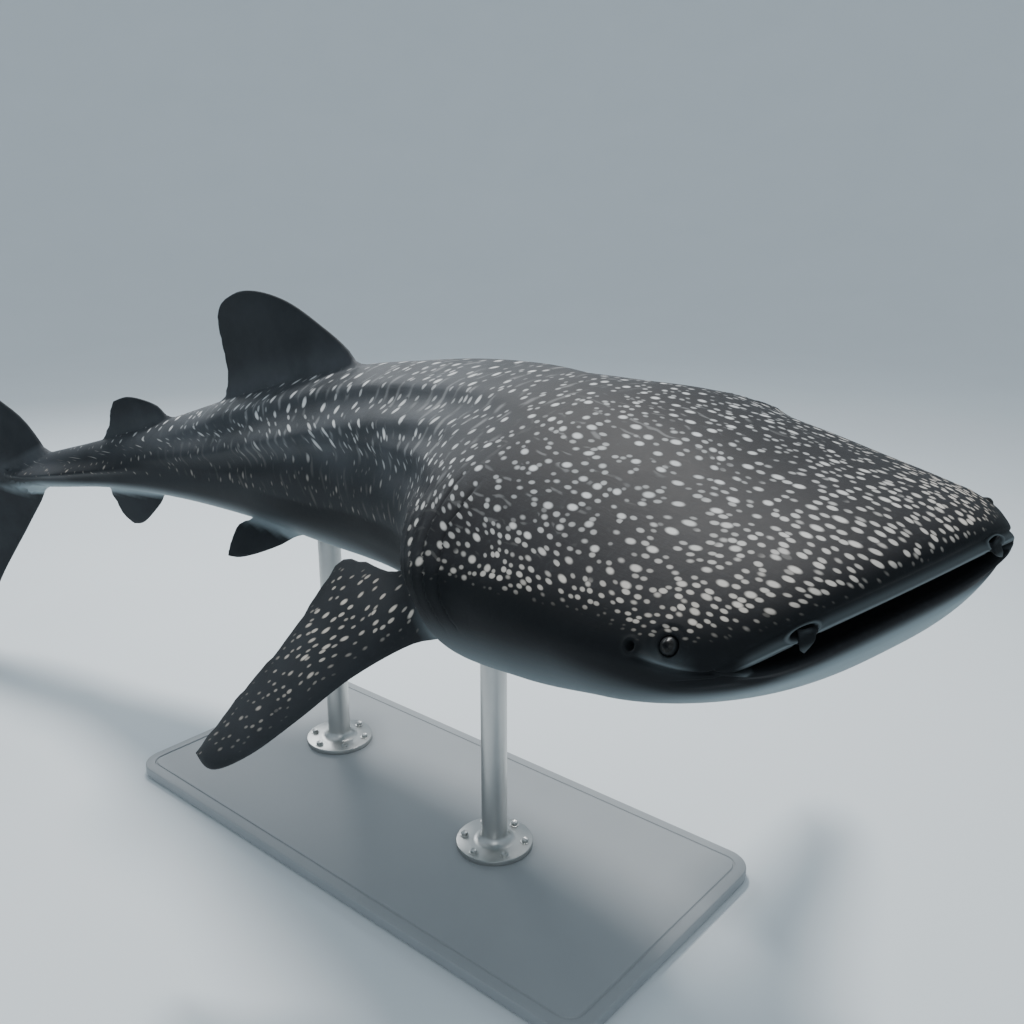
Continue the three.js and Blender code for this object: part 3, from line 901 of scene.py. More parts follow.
def fold_heights(row, angle):
    """How far the skin stands out at each corner of the sheet, from all the rules above."""
    p = straight(row, angle)
    s, y, z = p[..., 0], p[..., 1], p[..., 2]
    inside = (row < 1).astype(float)
    t = np.where(row < 1, 1 - row, row - 1)
    near_lip = np.where(row < 2, lip_height(inside, t, angle), 0)
    on_front = (row >= 1) & (row < 2.5)
    outside = np.where(on_front, row - 1, -1)
    total = ridge_height(s, angle) + swelling_height(s, angle) + near_lip
    near_gills = (s > 13) & (s < 24)
    total = total + np.where(near_gills, gill_height(s, z), 0)
    features = fold_height(s, y, z) + corner_height(s, y, z) + eye_height(p) + spiracle_height(p)
    total = total + np.where(on_front, features + nostril_height(outside, p), 0)
    return total


keep_number(skin, "row", row)
keep_number(skin, "angle", angle)
set_corners(skin, place(body))
merge_and_close(skin)
row, angle = take_number(skin, "row"), take_number(skin, "angle")
raised = corners_of(skin) + normals_of(skin) * (fold_heights(row, angle) * percent)[:, None]
set_corners(skin, raised)
print("skin of the body:", len(skin.data.vertices), "corners,", len(skin.data.polygons), "faces")

# %% [markdown]
# ## Fins
# A fin is a thin lens with a blunt front edge and a sharp hind one, between two curves. It is made
# like the body: a flat sheet is wrapped into a closed lens at each step from root to tip. Near the
# body every fin grows thicker, so that it flows out of the flank. Fins could be solid outlines with
# a bevel, but then they would have the same thickness all over.

# %% A curve through points, and the lens of a fin
def spline(points, t):
    """A smooth curve through the points, read at shares t of its length."""
    points = np.array(points, float)
    last = len(points) - 1

    def at(u):
        i = np.minimum((u * last).astype(int), last - 1)
        w = (u * last - i)[:, None]
        p0, p1 = points[np.maximum(i - 1, 0)], points[i]
        p2, p3 = points[i + 1], points[np.minimum(i + 2, last)]
        v0, v1 = (p2 - p0) / 2, (p3 - p1) / 2
        return (2 * p1 - 2 * p2 + v0 + v1) * w ** 3 + (3 * p2 - 3 * p1 - 2 * v0 - v1) * w ** 2 + v0 * w + p1

    fine = np.linspace(0, 1, 201)
    length = np.concatenate([[0], np.cumsum(np.linalg.norm(np.diff(at(fine), axis=0), axis=1))])
    return at(np.interp(t * length[-1], length, fine))


chord_steps = 13
edge_thick = 0.09


def fin_ring(shape, t, j):
    """Point j round the lens at share t of the span, as back, out and side, and its share of the chord."""
    lead, trail = spline(shape["lead"], t), spline(shape["trail"], t)
    ragged = np.sin(61 * t) + 0.7 * np.sin(113 * t + 1) + 0.5 * np.sin(29 * t + 2)
    ragged = shape.get("ragged", 0.03) * ragged[:, None]
    trail = trail + ragged * (trail - lead) / np.linalg.norm(trail - lead, axis=1)[:, None]
    j = np.where(j == 2 * chord_steps + 2, 0, j)
    over = j <= chord_steps
    k = np.where(over, j, 2 * chord_steps + 1 - j)
    chord = (1 - np.cos(np.pi * k / chord_steps)) / 2
    full = lerp(shape["thick"], shape.get("tip_thick", 0.25), t)
    width = np.minimum(1, np.linalg.norm(trail - lead, axis=1) / 2)
    half = (edge_thick + full * np.sin(np.pi * chord ** 0.7) * width) / 2
    point = lerp(lead, trail, chord[:, None])
    return np.stack([point[:, 0], point[:, 1], np.where(over, 1, -1) * half], -1), chord


def on_midline(p):
    """Fins on the midline: back is s, out is z."""
    return np.stack([p[:, 0], p[:, 2], p[:, 1]], -1)


def on_flank(root, along, across, side):
    """A paired fin stands on a root point; along runs to its tip, across backwards."""
    a = np.array(along) / np.linalg.norm(along)
    c = np.array(across) / np.linalg.norm(across)
    n = np.cross(a, c) / np.linalg.norm(np.cross(a, c))

    def to_body(p):
        q = np.array(root) + p[:, :1] * a + p[:, 1:2] * c + p[:, 2:] * n
        return q * np.array([1, side, 1])

    return to_body


print("a lens has", 2 * chord_steps + 2, "corners round it")

# %% Outlines of the fins
# The curves of the front and hind edge, how thick the fin is, how many rows of faces it has, and
# how far out from the body it keeps the body's own tones.
first_dorsal = {
    "lead": [(39.5, 4.6), (41.6, 7.3), (43.8, 9.0), (46.4, 10.65), (49, 11.62), (51.3, 11.95),
             (53.2, 11.6)],
    "trail": [(54.2, 3.6), (56.5, 4.3), (55.3, 5.9), (54.9, 8), (54.7, 9.9), (54.1, 11.05),
              (53.2, 11.6)],
    "thick": 1.0, "slices": 36,
    "blend": 2.4,
}
second_dorsal = {
    "lead": [(62.4, 2.2), (63.6, 3.95), (65, 4.86), (67.3, 5.5), (69.1, 5.3)],
    "trail": [(69.6, 1.7), (71.6, 2.5), (70.5, 3.3), (69.9, 4.4), (69.1, 5.3)],
    "thick": 0.5, "slices": 24,
    "blend": 2.4,
}
anal = {
    "lead": [(65.2, -1.4), (66.6, -2.9), (68.3, -4.1), (70.1, -5.1), (71.3, -5.15)],
    "trail": [(71, -1), (73, -1.95), (72.5, -3), (72.2, -4.2), (71.3, -5.15)],
    "thick": 0.5, "slices": 22,
    "blend": 0.8,
}
caudal_upper = {
    "lead": [(78.2, -1.0), (80, 4.2), (83, 7.3), (88, 12.1), (93.5, 16.4), (98, 19), (99.4, 19.2)],
    "trail": [(84.6, -1.4), (86.8, 0.3), (88.3, 1.4), (89.9, 4.4), (92.2, 8.6), (95.4, 13.2), (98.8, 17.8),
              (99.4, 19.2)],
    "thick": 1.0, "slices": 44, "ragged": 0.045,
    "blend": 0.7,
}
caudal_lower = {
    "lead": [(79.0, 1.2), (80.7, -1.6), (84, -4.5), (89.2, -8.8), (92.3, -11.8), (93.6, -12.7)],
    "trail": [(84.8, 1.9), (86.8, 0.3), (88.4, -0.8), (89.9, -3.6), (91.7, -7.2), (93.8, -11.4),
              (93.6, -12.7)],
    "thick": 0.9, "slices": 38,
    "blend": 0.7,
}
pectoral = {
    "lead": [(-3, -0.8), (-0.4, -0.5), (1.9, 0.15), (5.9, 0.12), (9.5, -0.55), (13, -1.03), (15.8, -0.7),
             (17.1, 0.8)],
    "trail": [(-3, 4.3), (1.6, 4.25), (4.2, 6.3), (5.7, 7.35), (7.1, 6.7), (9.9, 4.6), (13.2, 3),
              (17.1, 0.8)],
    "thick": 1.15, "tip_thick": 0.35, "slices": 52, "ragged": 0.05,
    "blend": 1.0, "spotted": True,
}
pelvic = {
    "lead": [(-2, 0.2), (0.8, 0.3), (2.6, 1), (4, 2.1), (4.5, 3.2)],
    "trail": [(-2, 3.8), (0.5, 4.1), (1.6, 5.6), (2.9, 5), (4.5, 3.2)],
    "thick": 0.5, "slices": 22,
    "blend": 0.7,
}
barbel = {
    "lead": [(-0.3, -0.34), (0.02, -0.32), (0.24, -0.1), (0.44, 0.2)],
    "trail": [(-0.3, 0.26), (0.08, 0.3), (0.28, 0.32), (0.44, 0.2)],
    "thick": 0.12, "tip_thick": 0.06, "slices": 12, "ragged": 0.0,
    "blend": 0.3, "pale": 0.2,
}
pectoral_stance = ((20.3, 8.64, -4.2), (0.617, 0.683, -0.391), (0.744, -0.345, 0.572))
pelvic_stance = ((46.8, 3.3, -4.4), (0.42, 0.84, -0.34), (1, -0.15, 0.25))
barbel_stance = ((0.1, 4.3, -0.2), (-0.1, 0.05, -1), (0.25, 1, 0))

fins = [
    ("first_dorsal", first_dorsal, on_midline, None),
    ("second_dorsal", second_dorsal, on_midline, None),
    ("anal", anal, on_midline, None),
    ("caudal_upper", caudal_upper, on_midline, None),
    ("caudal_lower", caudal_lower, on_midline, None),
]
for side_name, side in (("left", 1), ("right", -1)):
    for name, shape, stance in (("pectoral", pectoral, pectoral_stance), ("pelvic", pelvic, pelvic_stance),
                                ("barbel", barbel, barbel_stance)):
        fins.append((name + "_" + side_name, shape, on_flank(*stance, side), stance[0][0]))
print(len(fins), "fins and barbels")

# %% Make each fin and let its root grow into the body
body_tree = BVHTree.FromObject(skin, bpy.context.evaluated_depsgraph_get())


def height_over_body(places):
    """How far points stand out of the body, negative inside it, in per cent of length."""
    heights = np.empty(len(places))
    for i, p in enumerate(places):
        at, normal, _, distance = body_tree.find_nearest(Vector(p))
        heights[i] = math.copysign(distance, (Vector(p) - at).dot(normal)) / percent
    return heights


fin_spacing = np.array([1.15, 1.2])  # from spot to spot, across the fin and along it
fin_crowd = 0.6
behind_lips = 9.0  # a row of the sheet where the lips' light edges no longer count


def fin_marks(shape, lens, chord, over):
    """Where spots show, and how pale the fin's own ground is. Pectorals are spotted above, pale below."""
    if not shape.get("spotted"):
        return 0 * over, 0 * over + shape.get("pale", 0)
    out, back_side = lens[:, 0], lens[:, 2]
    above = smooth(-back_side, -0.06, 0.06)
    inner = smooth(chord, 0.05, 0.28) * (1 - smooth(chord, 0.80, 0.97))
    spots = above * inner * (1 - 0.65 * smooth(out, 7, 15)) * smooth(over, -0.2, 0.4)
    pale = (1 - above) * smooth(chord, 0.05, 0.22) * (1 - smooth(chord, 0.55, 0.95)) * 0.7
    return spots, pale


def make_fin(name, shape, stance, station):
    """Wraps a sheet into the fin's lens, carries it to the body and thickens its root."""
    piece = flat_sheet(name, np.arange(2 * chord_steps + 3.0), np.linspace(0, 1, shape["slices"] + 1))
    flat = corners_of(piece)
    t = np.minimum(np.sin(flat[:, 1] * np.pi / 2) ** 1.2, 0.997)
    lens, chord = fin_ring(shape, t, np.rint(flat[:, 0]).astype(int))
    p = stance(lens)
    set_corners(piece, place(p, station))
    over = height_over_body(corners_of(piece))
    own = smooth(over, 0.1, shape["blend"])
    spots, pale = fin_marks(shape, lens, chord, over)
    tones = body_tones(np.full(len(p), behind_lips), p)
    far_from_body = 100.5 + 7 * len(name)
    add_map(piece, "Flow", lens[:, 1::-1] / fin_spacing + far_from_body)
    add_map(piece, "Place", place_map(p))
    add_map(piece, "Crowd", np.tile([fin_crowd, 0.0], (len(p), 1)))
    add_map(piece, "Marks", np.stack([spots, 0 * spots], -1))
    add_map(piece, "Tones", np.stack([lerp(tones[:, 0], pale, own), lerp(tones[:, 1], 0.6, own)], -1))
    drop_map(piece)
    keep_number(piece, "over", over)
    merge_and_close(piece)
    over = np.maximum(take_number(piece, "over"), 0)
    root_reach = 0.55 * shape["thick"] + 0.1
    swell = 0.22 * shape["thick"] * np.exp(-over / root_reach)
    set_corners(piece, corners_of(piece) + normals_of(piece) * (swell * percent)[:, None])
    return piece


made_fins = [make_fin(*fin) for fin in fins]
for piece in made_fins:
    print(piece.name, len(piece.data.polygons), "faces")

# %% [markdown]
# ## One skin without a seam
# The fins are joined to the body with an exact union, which cuts away what lies inside, and then
# the corners round each joint are smoothed, so that skin runs over it in a fillet. A voxel remesh
# would do both in one go, but it would lose the maps and the thin hind edges.

# %% Unite the fins with the body
def join(pieces):
    """Makes one object of all the pieces, the first one."""
    deselect()
    for piece in pieces:
        piece.select_set(True)
    bpy.context.view_layer.objects.active = pieces[0]
    bpy.ops.object.join()
    return pieces[0]


# The lower lobe of the tail overlaps the upper one, so it is united in a step of its own.
lower_lobe = next(piece for piece in made_fins if piece.name == "caudal_lower")
other_fins = join([piece for piece in made_fins if piece is not lower_lobe])
joints = []


def on_surface(places, tree, near=2e-4):
    """True for each place that lies on the surface of the tree."""
    return np.array([tree.find_nearest(Vector(p), near)[0] is not None for p in places])


def unite(piece, other):
    """Unites other with piece and notes the corners that lie on both, which are the joint."""
    graph = bpy.context.evaluated_depsgraph_get()
    trees = [BVHTree.FromObject(o, graph) for o in (piece, other)]
    apply_modifier(piece, "BOOLEAN", operation="UNION", solver="EXACT", object=other)
    places = corners_of(piece)
    on_other = np.flatnonzero(on_surface(places, trees[1]))
    joints.extend(p for p in places[on_other[on_surface(places[on_other], trees[0])]])
    bpy.data.objects.remove(other)


unite(skin, other_fins)
unite(skin, lower_lobe)
print("corners on the joints", len(joints))

# %% Smooth the skin round the joints
joint_tree = KDTree(len(joints))
for i, p in enumerate(joints):
    joint_tree.insert(Vector(p), i)
joint_tree.balance()
places = corners_of(skin)
from_joint = np.array([joint_tree.find(Vector(p))[2] for p in places])
# The small nostrils keep their shape: only the corners right at a barbel's joint are smoothed.
nostril_reach, nostril_holdback = 0.12, 6
for side in (1, -1):
    nostril_place = place(np.array(barbel_stance[0]) * (1, side, 1))
    from_joint[np.linalg.norm(places - nostril_place, axis=1) < nostril_reach] *= nostril_holdback
for reach, rounds in ((0.075, 4), (0.045, 6), (0.02, 4)):
    select_corners(skin, from_joint < reach)
    edit(skin)
    bpy.ops.mesh.vertices_smooth(factor=0.5, repeat=rounds)
    done()
only(skin)
bpy.ops.object.shade_smooth()
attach(skin, "root")
flesh = [n for n in frame["nodes"] if not n.startswith(("stand_", "eye_"))]
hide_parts(*flesh)
triangles = sum(len(f.vertices) - 2 for f in skin.data.polygons)
print("one skin of", triangles, "triangles stands for", len(flesh), "nodes")

# %% [markdown]
# ## The colours of the skin
# The back is charcoal with off-white spots, the trunk's ground lighter than the head's as painted
# light from above, the flank has a nearly black band below the last spots that is partly painted
# shade, and the belly is pale, darkened to a teal-grey as painted shade. An image of a real animal
# could be projected on it, but it would only fit one side. Spots from Voronoi cells on the Flow map
# grow and crowd as the map does, and a random number of each cell makes its spot large and bright
# or small and faint. Behind the head, pale bars stand in columns between the spots.

# %% Pieces of the pattern
def map_parts(tree, name):
    """The two numbers of one of the piece's maps."""
    split = make_node(tree, "SeparateXYZ", Vector=make_node(tree, "UVMap", {"uv_map": name}))
    return split, Wire(tree, split.socket.node.outputs[1])


def flow_vector(tree, u, v, w=0.0):
    return make_node(tree, "CombineXYZ", X=u, Y=v, Z=w)


def vector_maths(tree, operation, *values, pick=0):
    sockets = {"_" + str(i): value for i, value in enumerate(values)}
    return make_node(tree, "VectorMath", {"operation": operation}, pick, **sockets)


def cells(tree, vector):
    """Voronoi cells in the plane: two random numbers of the nearest spot, and where its middle lies."""
    middle = make_node(
        tree, "TexVoronoi", {"voronoi_dimensions": "2D", "feature": "F1"}, "Position",
        Vector=vector, Scale=1.0, Randomness=0.62,
    )
    split = make_node(tree, "SeparateColor", Color=Wire(tree, middle.socket.node.outputs["Color"]))
    return split, Wire(tree, split.socket.node.outputs[1]), middle


def noise(tree, vector, scale, detail=2.0, rough=0.5, pick="Fac"):
    return make_node(
        tree, "TexNoise", None, pick, Vector=vector, Scale=scale, Detail=detail, Roughness=rough,
    )


def lines(wave, thin, thick):
    """Thin lines, one for each whole number that the wave passes."""
    return (wave.fraction() - 0.5).absolute().between(thin, thick, 1.0, 0.0)


print("pattern helpers ready")

# %% Where the spots, lines and bars are
skin_material, tree, shader = new_material("skin")
u, v = map_parts(tree, "Flow")
place_s, place_z = map_parts(tree, "Place")
s_here = place_s * place_range["length"]
z_here = place_z * place_range["height"] + place_range["lowest"]
spots_here, bars_here = map_parts(tree, "Marks")
# The Tones map carries the pale belly with painted edge highlights, and the dark band with painted shade.
pale_and_highlight_here, band_and_shade_here = map_parts(tree, "Tones")
crowd_here, lined_here = map_parts(tree, "Crowd")
in_space = make_node(tree, "TexCoord", pick="Object")

# A little waviness keeps the spots off straight rows.
drift = noise(tree, flow_vector(tree, u, v), 0.25, 1.0)
drift_v = noise(tree, flow_vector(tree, u, v, 7.0), 0.25, 1.0)
wavy_u = u + (drift - 0.5) * 1.0
wavy_v = v + (drift_v - 0.5) * 1.0
wavy = flow_vector(tree, wavy_u, wavy_v)

# On the head a spot is longer along the body, and on the trunk across it.
slimness = flow_vector(tree, s_here.between(14, 23, 0.92, 1.75), s_here.between(14, 23, 1.10, 0.85))


def from_cell(where, middle):
    """How far a place is from the middle of its spot, measured so that the spot is an ellipse."""
    offset = vector_maths(tree, "SUBTRACT", where, middle)
    return vector_maths(tree, "LENGTH", vector_maths(tree, "MULTIPLY", offset, slimness), pick="Value")


def large_spot(where):
    """The edge of the large spot nearest to a place, as a distance outside it, and its brightness."""
    chance, other, middle = cells(tree, where)
    size = chance.between(0.10, 0.85)
    return from_cell(where, middle) - (size * 0.075 + 0.118), size * 0.34 + other * 0.18 + 0.44


from_large, large_bright = large_spot(wavy)
fading = spots_here * 0.5 + 0.5
large = (from_large + (1 - fading) * 0.2).between(-0.085, 0.055, 1.0, 0.0) * large_bright

# Small spots lie between the large ones: few and faint on the back, many and bright at the snout.
# One shows where its middle has room, so that it isn't cut by a large spot.
finer = 2.0
shift = (5.3, 2.7, 0.0)
small_field = vector_maths(tree, "MULTIPLY_ADD", wavy, (finer,) * 3, shift)
small_chance, small_other, small_middle = cells(tree, small_field)
small_away = from_cell(small_field, small_middle)
unshifted = vector_maths(tree, "SUBTRACT", small_middle, shift)
on_flow = vector_maths(tree, "MULTIPLY", unshifted, (1 / finer,) * 3)
room = large_spot(on_flow)[0].between(0.10, 0.12)
small_radius = (small_other * 0.12 + 0.17 + crowd_here * 0.05) * fading
shown = (crowd_here * 0.46 + s_here.between(14, 24, 0.56, 0.36) - small_chance).between(0.0, 0.05) * room
small = (small_radius - small_away).between(-0.07, 0.10) * shown
small = small * (small_other * 0.30 + crowd_here * 0.30 + 0.26)
spots = large.larger(small) * spots_here

# Faint wavy lines run between the spots of the head, and bars stand between those of the trunk.
clear = from_large.between(0.08, 0.14)
curl = noise(tree, flow_vector(tree, u, v, 4.0), 0.55, 1.0)
line_breaks = noise(tree, flow_vector(tree, wavy_u * 1.3, wavy_v * 1.8, 3.0), 1.0, 1.0)
head_lines = lines(wavy_v * 1.1 + curl * 1.8, 0.03, 0.14) * line_breaks.between(0.52, 0.64)
head_lines = head_lines * lined_here * 0.6
bar_breaks = noise(tree, flow_vector(tree, wavy_u * 2.2, wavy_v * 0.85, 9.0), 1.0, 1.0)
bars = lines((s_here - z_here * 0.42) * 0.85 + drift * 0.6, 0.03, 0.26)
bars = bars * bar_breaks.between(0.46, 0.70) * bars_here
marks = spots.larger(head_lines.larger(bars * 0.75) * clear * spots_here * 0.26)
print("pattern of", len(tree.nodes), "nodes")

# %% Colour, gloss and grain of the skin
# The ground is mixed in layers: blotches, the dark band that is partly painted shade, fine pale grains, and
# the belly with the painted edge highlights over all.
head_colours = (0.013, 0.013, 0.015), (0.023, 0.022, 0.024)
# The trunk's ground is lighter than the head's: painted light from above on the trunk.
lit_trunk_colours = (0.038, 0.042, 0.047), (0.066, 0.072, 0.080)
# The belly is darkened to a teal-grey: painted shade of the underside.
shaded_belly_colours = (0.25, 0.31, 0.335), (0.36, 0.42, 0.44)
# The band colour is nearly black: partly the dark side of the head, partly painted shade.
band_and_shade_colour = (0.0045, 0.0060, 0.0075)
grain_colour = (0.060, 0.064, 0.068)
spot_colours = (0.70, 0.63, 0.55), (0.68, 0.69, 0.69)  # on the cheeks and on the back
blotches = noise(tree, in_space, 2.4, 4.0, 0.62)
grain = noise(tree, in_space, 55.0, 3.0, 0.65)
head_ground = mix(tree, blotches, *head_colours)
lit_trunk_ground = mix(tree, blotches.between(0.35, 0.65), *lit_trunk_colours)
back = mix(tree, s_here.between(14, 30), head_ground, lit_trunk_ground)
ground = mix(tree, band_and_shade_here * 0.95, back, band_and_shade_colour)
ground = mix(tree, grain.between(0.45, 0.75) * (1 - band_and_shade_here) * 0.22, ground, grain_colour)
ground = mix(tree, pale_and_highlight_here, ground, mix(tree, blotches, *shaded_belly_colours))
spot_colour = mix(tree, z_here.between(0.0, 3.4), *spot_colours)
plug(tree, mix(tree, marks, ground, spot_colour), shader.inputs["Base Color"])
plug(tree, blotches * 0.14 + grain * 0.12 + band_and_shade_here * 0.12 + 0.46, shader.inputs["Roughness"])
shader.inputs["Specular IOR Level"].default_value = 0.17
creases = noise(tree, flow_vector(tree, u * 0.35, v * 3.0), 3.0, 3.0, 0.6)
denticles = noise(tree, in_space, 700.0, 1.0, 0.6)
height = denticles * 0.0006 + grain * 0.0010 + creases * 0.0008
plug(tree, make_node(tree, "Bump", Strength=0.55, Distance=1.0, Height=height), shader.inputs["Normal"])
skin.data.materials.clear()
skin.data.materials.append(skin_material)
print("skin material has", len(tree.nodes), "nodes")

# %% [markdown]
# ## Eyes
# A whale shark's eye is small, round and lidless, set in a thick ring of skin behind the corner of
# the mouth. The ball is a sphere whose front is drawn out into a cornea; rings of colour on it by
# distance from its middle make the pupil and the iris. A plain glossy ball would look blind.

# %% Make the eyes
def eye_seat(side):
    """Where the head's form has the eye on the straight shark, and which way it looks."""
    seat = on_head(eye, side)
    near = [front(np.array([eye["t"] + dt]), np.array([(eye["angle"] + da) * side]))[0]
            for dt, da in ((0, 0.01), (0.01, 0))]
    outward = np.cross(near[0] - seat, near[1] - seat)
    outward = outward / np.linalg.norm(outward)
    return seat, outward * np.sign(outward[1] * side)


eye_clearance = 0.985  # a ball is this much smaller than its socket
cornea = 0.10


def make_eye(name, side):
    seat, outward = eye_seat(side)
    middle = place((seat - outward * eye["depth"])[None])[0]
    axis = Vector(place((seat + outward)[None])[0] - place(seat[None])[0]).normalized()
    radius = eye["radius"] * percent * eye_clearance
    deselect()
    bpy.ops.mesh.primitive_uv_sphere_add(segments=48, ring_count=32, radius=radius)
    ball = bpy.context.object
    ball.name = name
    corners = corners_of(ball)
    high = corners[:, 2] / radius
    corners[:, 2] = corners[:, 2] * (1 + cornea * smooth(high, 0.80, 1.0))
    turn = np.array(axis.to_track_quat("Z", "Y").to_matrix())
    seen_from_front = corners[:, :2] / radius * 0.5 + 0.5
    seen_from_front[high < 0] = 0.99
    add_map(ball, "UVMap", seen_from_front)
    set_corners(ball, corners @ turn.T + middle)
    only(ball)
    bpy.ops.object.shade_smooth()
    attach(ball, "root")
    return ball


eyes = []
for side_name, side in (("left", 1), ("right", -1)):
    ball = make_eye("eyeball_" + side_name, side)
    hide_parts("eye_" + side_name)
    eyes.append(ball)
print(len(eyes), "eyes of", round(2 * eye["radius"] * percent, 3), "m")

# %% The eyes' material
eye_material, tree, shader = new_material("eye")
eye_u, eye_v = map_parts(tree, "UVMap")
from_middle = ((eye_u - 0.5) * (eye_u - 0.5) + (eye_v - 0.5) * (eye_v - 0.5)) ** 0.5 * 2
slope = (eye_u - 0.5) / ((eye_v - 0.5).absolute() + 0.02)
around = slope.maths("ARCTANGENT", slope)
streaks = noise(tree, flow_vector(tree, around * 3.0, from_middle * 1.5), 4.0, 3.0)
pupil_colour, rim_colour, outer_colour = (0.001, 0.001, 0.002), (0.016, 0.018, 0.020), (0.006, 0.007, 0.008)
iris = mix(tree, streaks.between(0.35, 0.65), (0.006, 0.006, 0.006), (0.018, 0.017, 0.016))
with_rim = mix(tree, from_middle.between(0.60, 0.66), iris, rim_colour)
with_outer = mix(tree, from_middle.between(0.70, 0.80), with_rim, outer_colour)
with_pupil = mix(tree, from_middle.between(0.30, 0.34), pupil_colour, with_outer)
plug(tree, with_pupil, shader.inputs["Base Color"])
shader.inputs["Roughness"].default_value = 0.38
shader.inputs["Specular IOR Level"].default_value = 0.16
shader.inputs["Coat Weight"].default_value = 0.06
for ball in eyes:
    ball.data.materials.clear()
    ball.data.materials.append(eye_material)
print("eye material has", len(tree.nodes), "nodes")

# %% [markdown]
# ## The stand
# The animal swims in the photo, so the stand is made up: a painted plinth, and two steel posts with
# bolted flanges. The plinth is a box whose corners are bevelled and whose top has a fine groove.
# A post is one cylinder whose top face is drawn in and up along a quarter circle, so flange and
# post are one turned piece; boxes and tubes stuck together would show their joints.

# %% The plinth
def select_faces(piece, test):
    """Opens a piece for editing with just those faces selected that pass the test."""
    edit(piece)
    bpy.ops.mesh.select_mode(type="FACE")
    bpy.ops.mesh.select_all(action="DESELECT")
    done()
    for face in piece.data.polygons:
        face.select = test(face)
    edit(piece)


def faces_up(face):
    return face.normal.z > 0.9


def round_edges(piece, width, segments, past=65):
    """Bevels the edges at which a piece turns by more than so many degrees."""
    apply_modifier(piece, "BEVEL", width=width, segments=segments, limit_method="ANGLE",
                   angle_limit=math.radians(past))


def shade_flats_and_rounds(piece):
    only(piece)
    bpy.ops.object.shade_smooth_by_angle(angle=math.radians(35))


# The plinth's edge floats over the floor by the gap, on a foot set back under it.
plinth_form = {"gap": 0.010, "corner": 0.12, "border": 0.045, "groove_side": 0.004, "groove_deep": 0.005,
               "groove_wide": 0.006, "foot_back": 0.03, "edge": 0.006}
base_low, base_high = [np.array(corner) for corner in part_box("stand_base")]
plinth_top = base_high[2]
deselect()
bpy.ops.mesh.primitive_cube_add(size=1)
plinth = bpy.context.object
plinth.name = "stand_plinth"
bottom = base_low + (0, 0, plinth_form["gap"])
set_corners(plinth, bottom + (corners_of(plinth) + 0.5) * (base_high - bottom))
edit(plinth)
bpy.ops.mesh.select_mode(type="EDGE")
bpy.ops.mesh.select_all(action="DESELECT")
done()
for side_edge in plinth.data.edges:
    a, b = [plinth.data.vertices[i].co for i in side_edge.vertices]
    side_edge.select = abs(a.z - b.z) > 0.01
edit(plinth)
bpy.ops.mesh.bevel(offset=plinth_form["corner"], segments=10, affect="EDGES")
done()
select_faces(plinth, faces_up)
bpy.ops.mesh.inset(thickness=plinth_form["border"])
bpy.ops.mesh.inset(thickness=plinth_form["groove_side"], depth=-plinth_form["groove_deep"])
bpy.ops.mesh.inset(thickness=plinth_form["groove_wide"])
bpy.ops.mesh.inset(thickness=plinth_form["groove_side"], depth=plinth_form["groove_deep"])
done()
select_faces(plinth, lambda face: face.normal.z < -0.9)
bpy.ops.mesh.inset(thickness=plinth_form["foot_back"])
bpy.ops.mesh.extrude_region_move(TRANSFORM_OT_translate={"value": (0, 0, -plinth_form["gap"])})
done()
round_edges(plinth, plinth_form["edge"], 3)
shade_flats_and_rounds(plinth)
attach(plinth, "root")
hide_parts("stand_base")
print("plinth", [round(d, 3) for d in plinth.dimensions])

# %% The posts
skin_tree = BVHTree.FromObject(skin, bpy.context.evaluated_depsgraph_get())
post = {"radius": 0.057, "flange": 0.17, "thick": 0.024, "fillet": 0.040, "sides": 96, "steps": 8,
        "inside": 0.09, "edge": 0.003}


def belly_over(x, y):
    """The height of the belly straight above a point of the plinth."""
    return skin_tree.ray_cast(Vector((x, y, 0.1)), Vector((0, 0, 1)))[0].z


def make_post(name, node):
    """A flange drawn in and up into a post, which ends a little way inside the belly."""
    low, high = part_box(node)
    x, y = (low.x + high.x) / 2, (low.y + high.y) / 2
    deselect()
    bpy.ops.mesh.primitive_cylinder_add(
        vertices=post["sides"], radius=post["flange"], depth=post["thick"],
        location=(x, y, plinth_top + post["thick"] / 2),
    )
    piece = bpy.context.object
    piece.name = name
    bpy.ops.object.transform_apply(location=True)
    select_faces(piece, faces_up)
    bpy.ops.mesh.inset(thickness=post["flange"] - post["radius"] - post["fillet"])
    turns = np.linspace(0, math.pi / 2, post["steps"] + 1)
    inward, upward = post["fillet"] * np.sin(turns), post["fillet"] * (1 - np.cos(turns))
    for step_in, step_up in zip(np.diff(inward), np.diff(upward)):
        bpy.ops.mesh.inset(thickness=step_in, depth=step_up)
    top = belly_over(x, y) + post["inside"]
    rise = top - plinth_top - post["thick"] - post["fillet"]
    bpy.ops.mesh.extrude_region_move(TRANSFORM_OT_translate={"value": (0, 0, rise)})
    done()
    round_edges(piece, post["edge"], 2)
    shade_flats_and_rounds(piece)
    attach(piece, "root")
    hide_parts(node)
    return piece, x, y


posts = [make_post("stand_post_" + where, "stand_rod_" + where) for where in ("front", "rear")]
print("posts", [round(p.dimensions.z, 3) for p, _, _ in posts], "m high")

# %% Bolts and washers
bolt_head = {"sides": 6, "radius": 0.016, "high": 0.012, "edge": 0.0007}
bolt_top = [(0.0015, 0.0012), (0.0030, 0), (0.0015, -0.0010)]  # steps inwards and up: a low rim
washer = {"sides": 40, "radius": 0.021, "high": 0.003, "edge": 0.0008}
bolt_circle, bolts_each = 0.137, 6
bolt_turn = 1.7  # how much further than its place round the post a bolt is turned


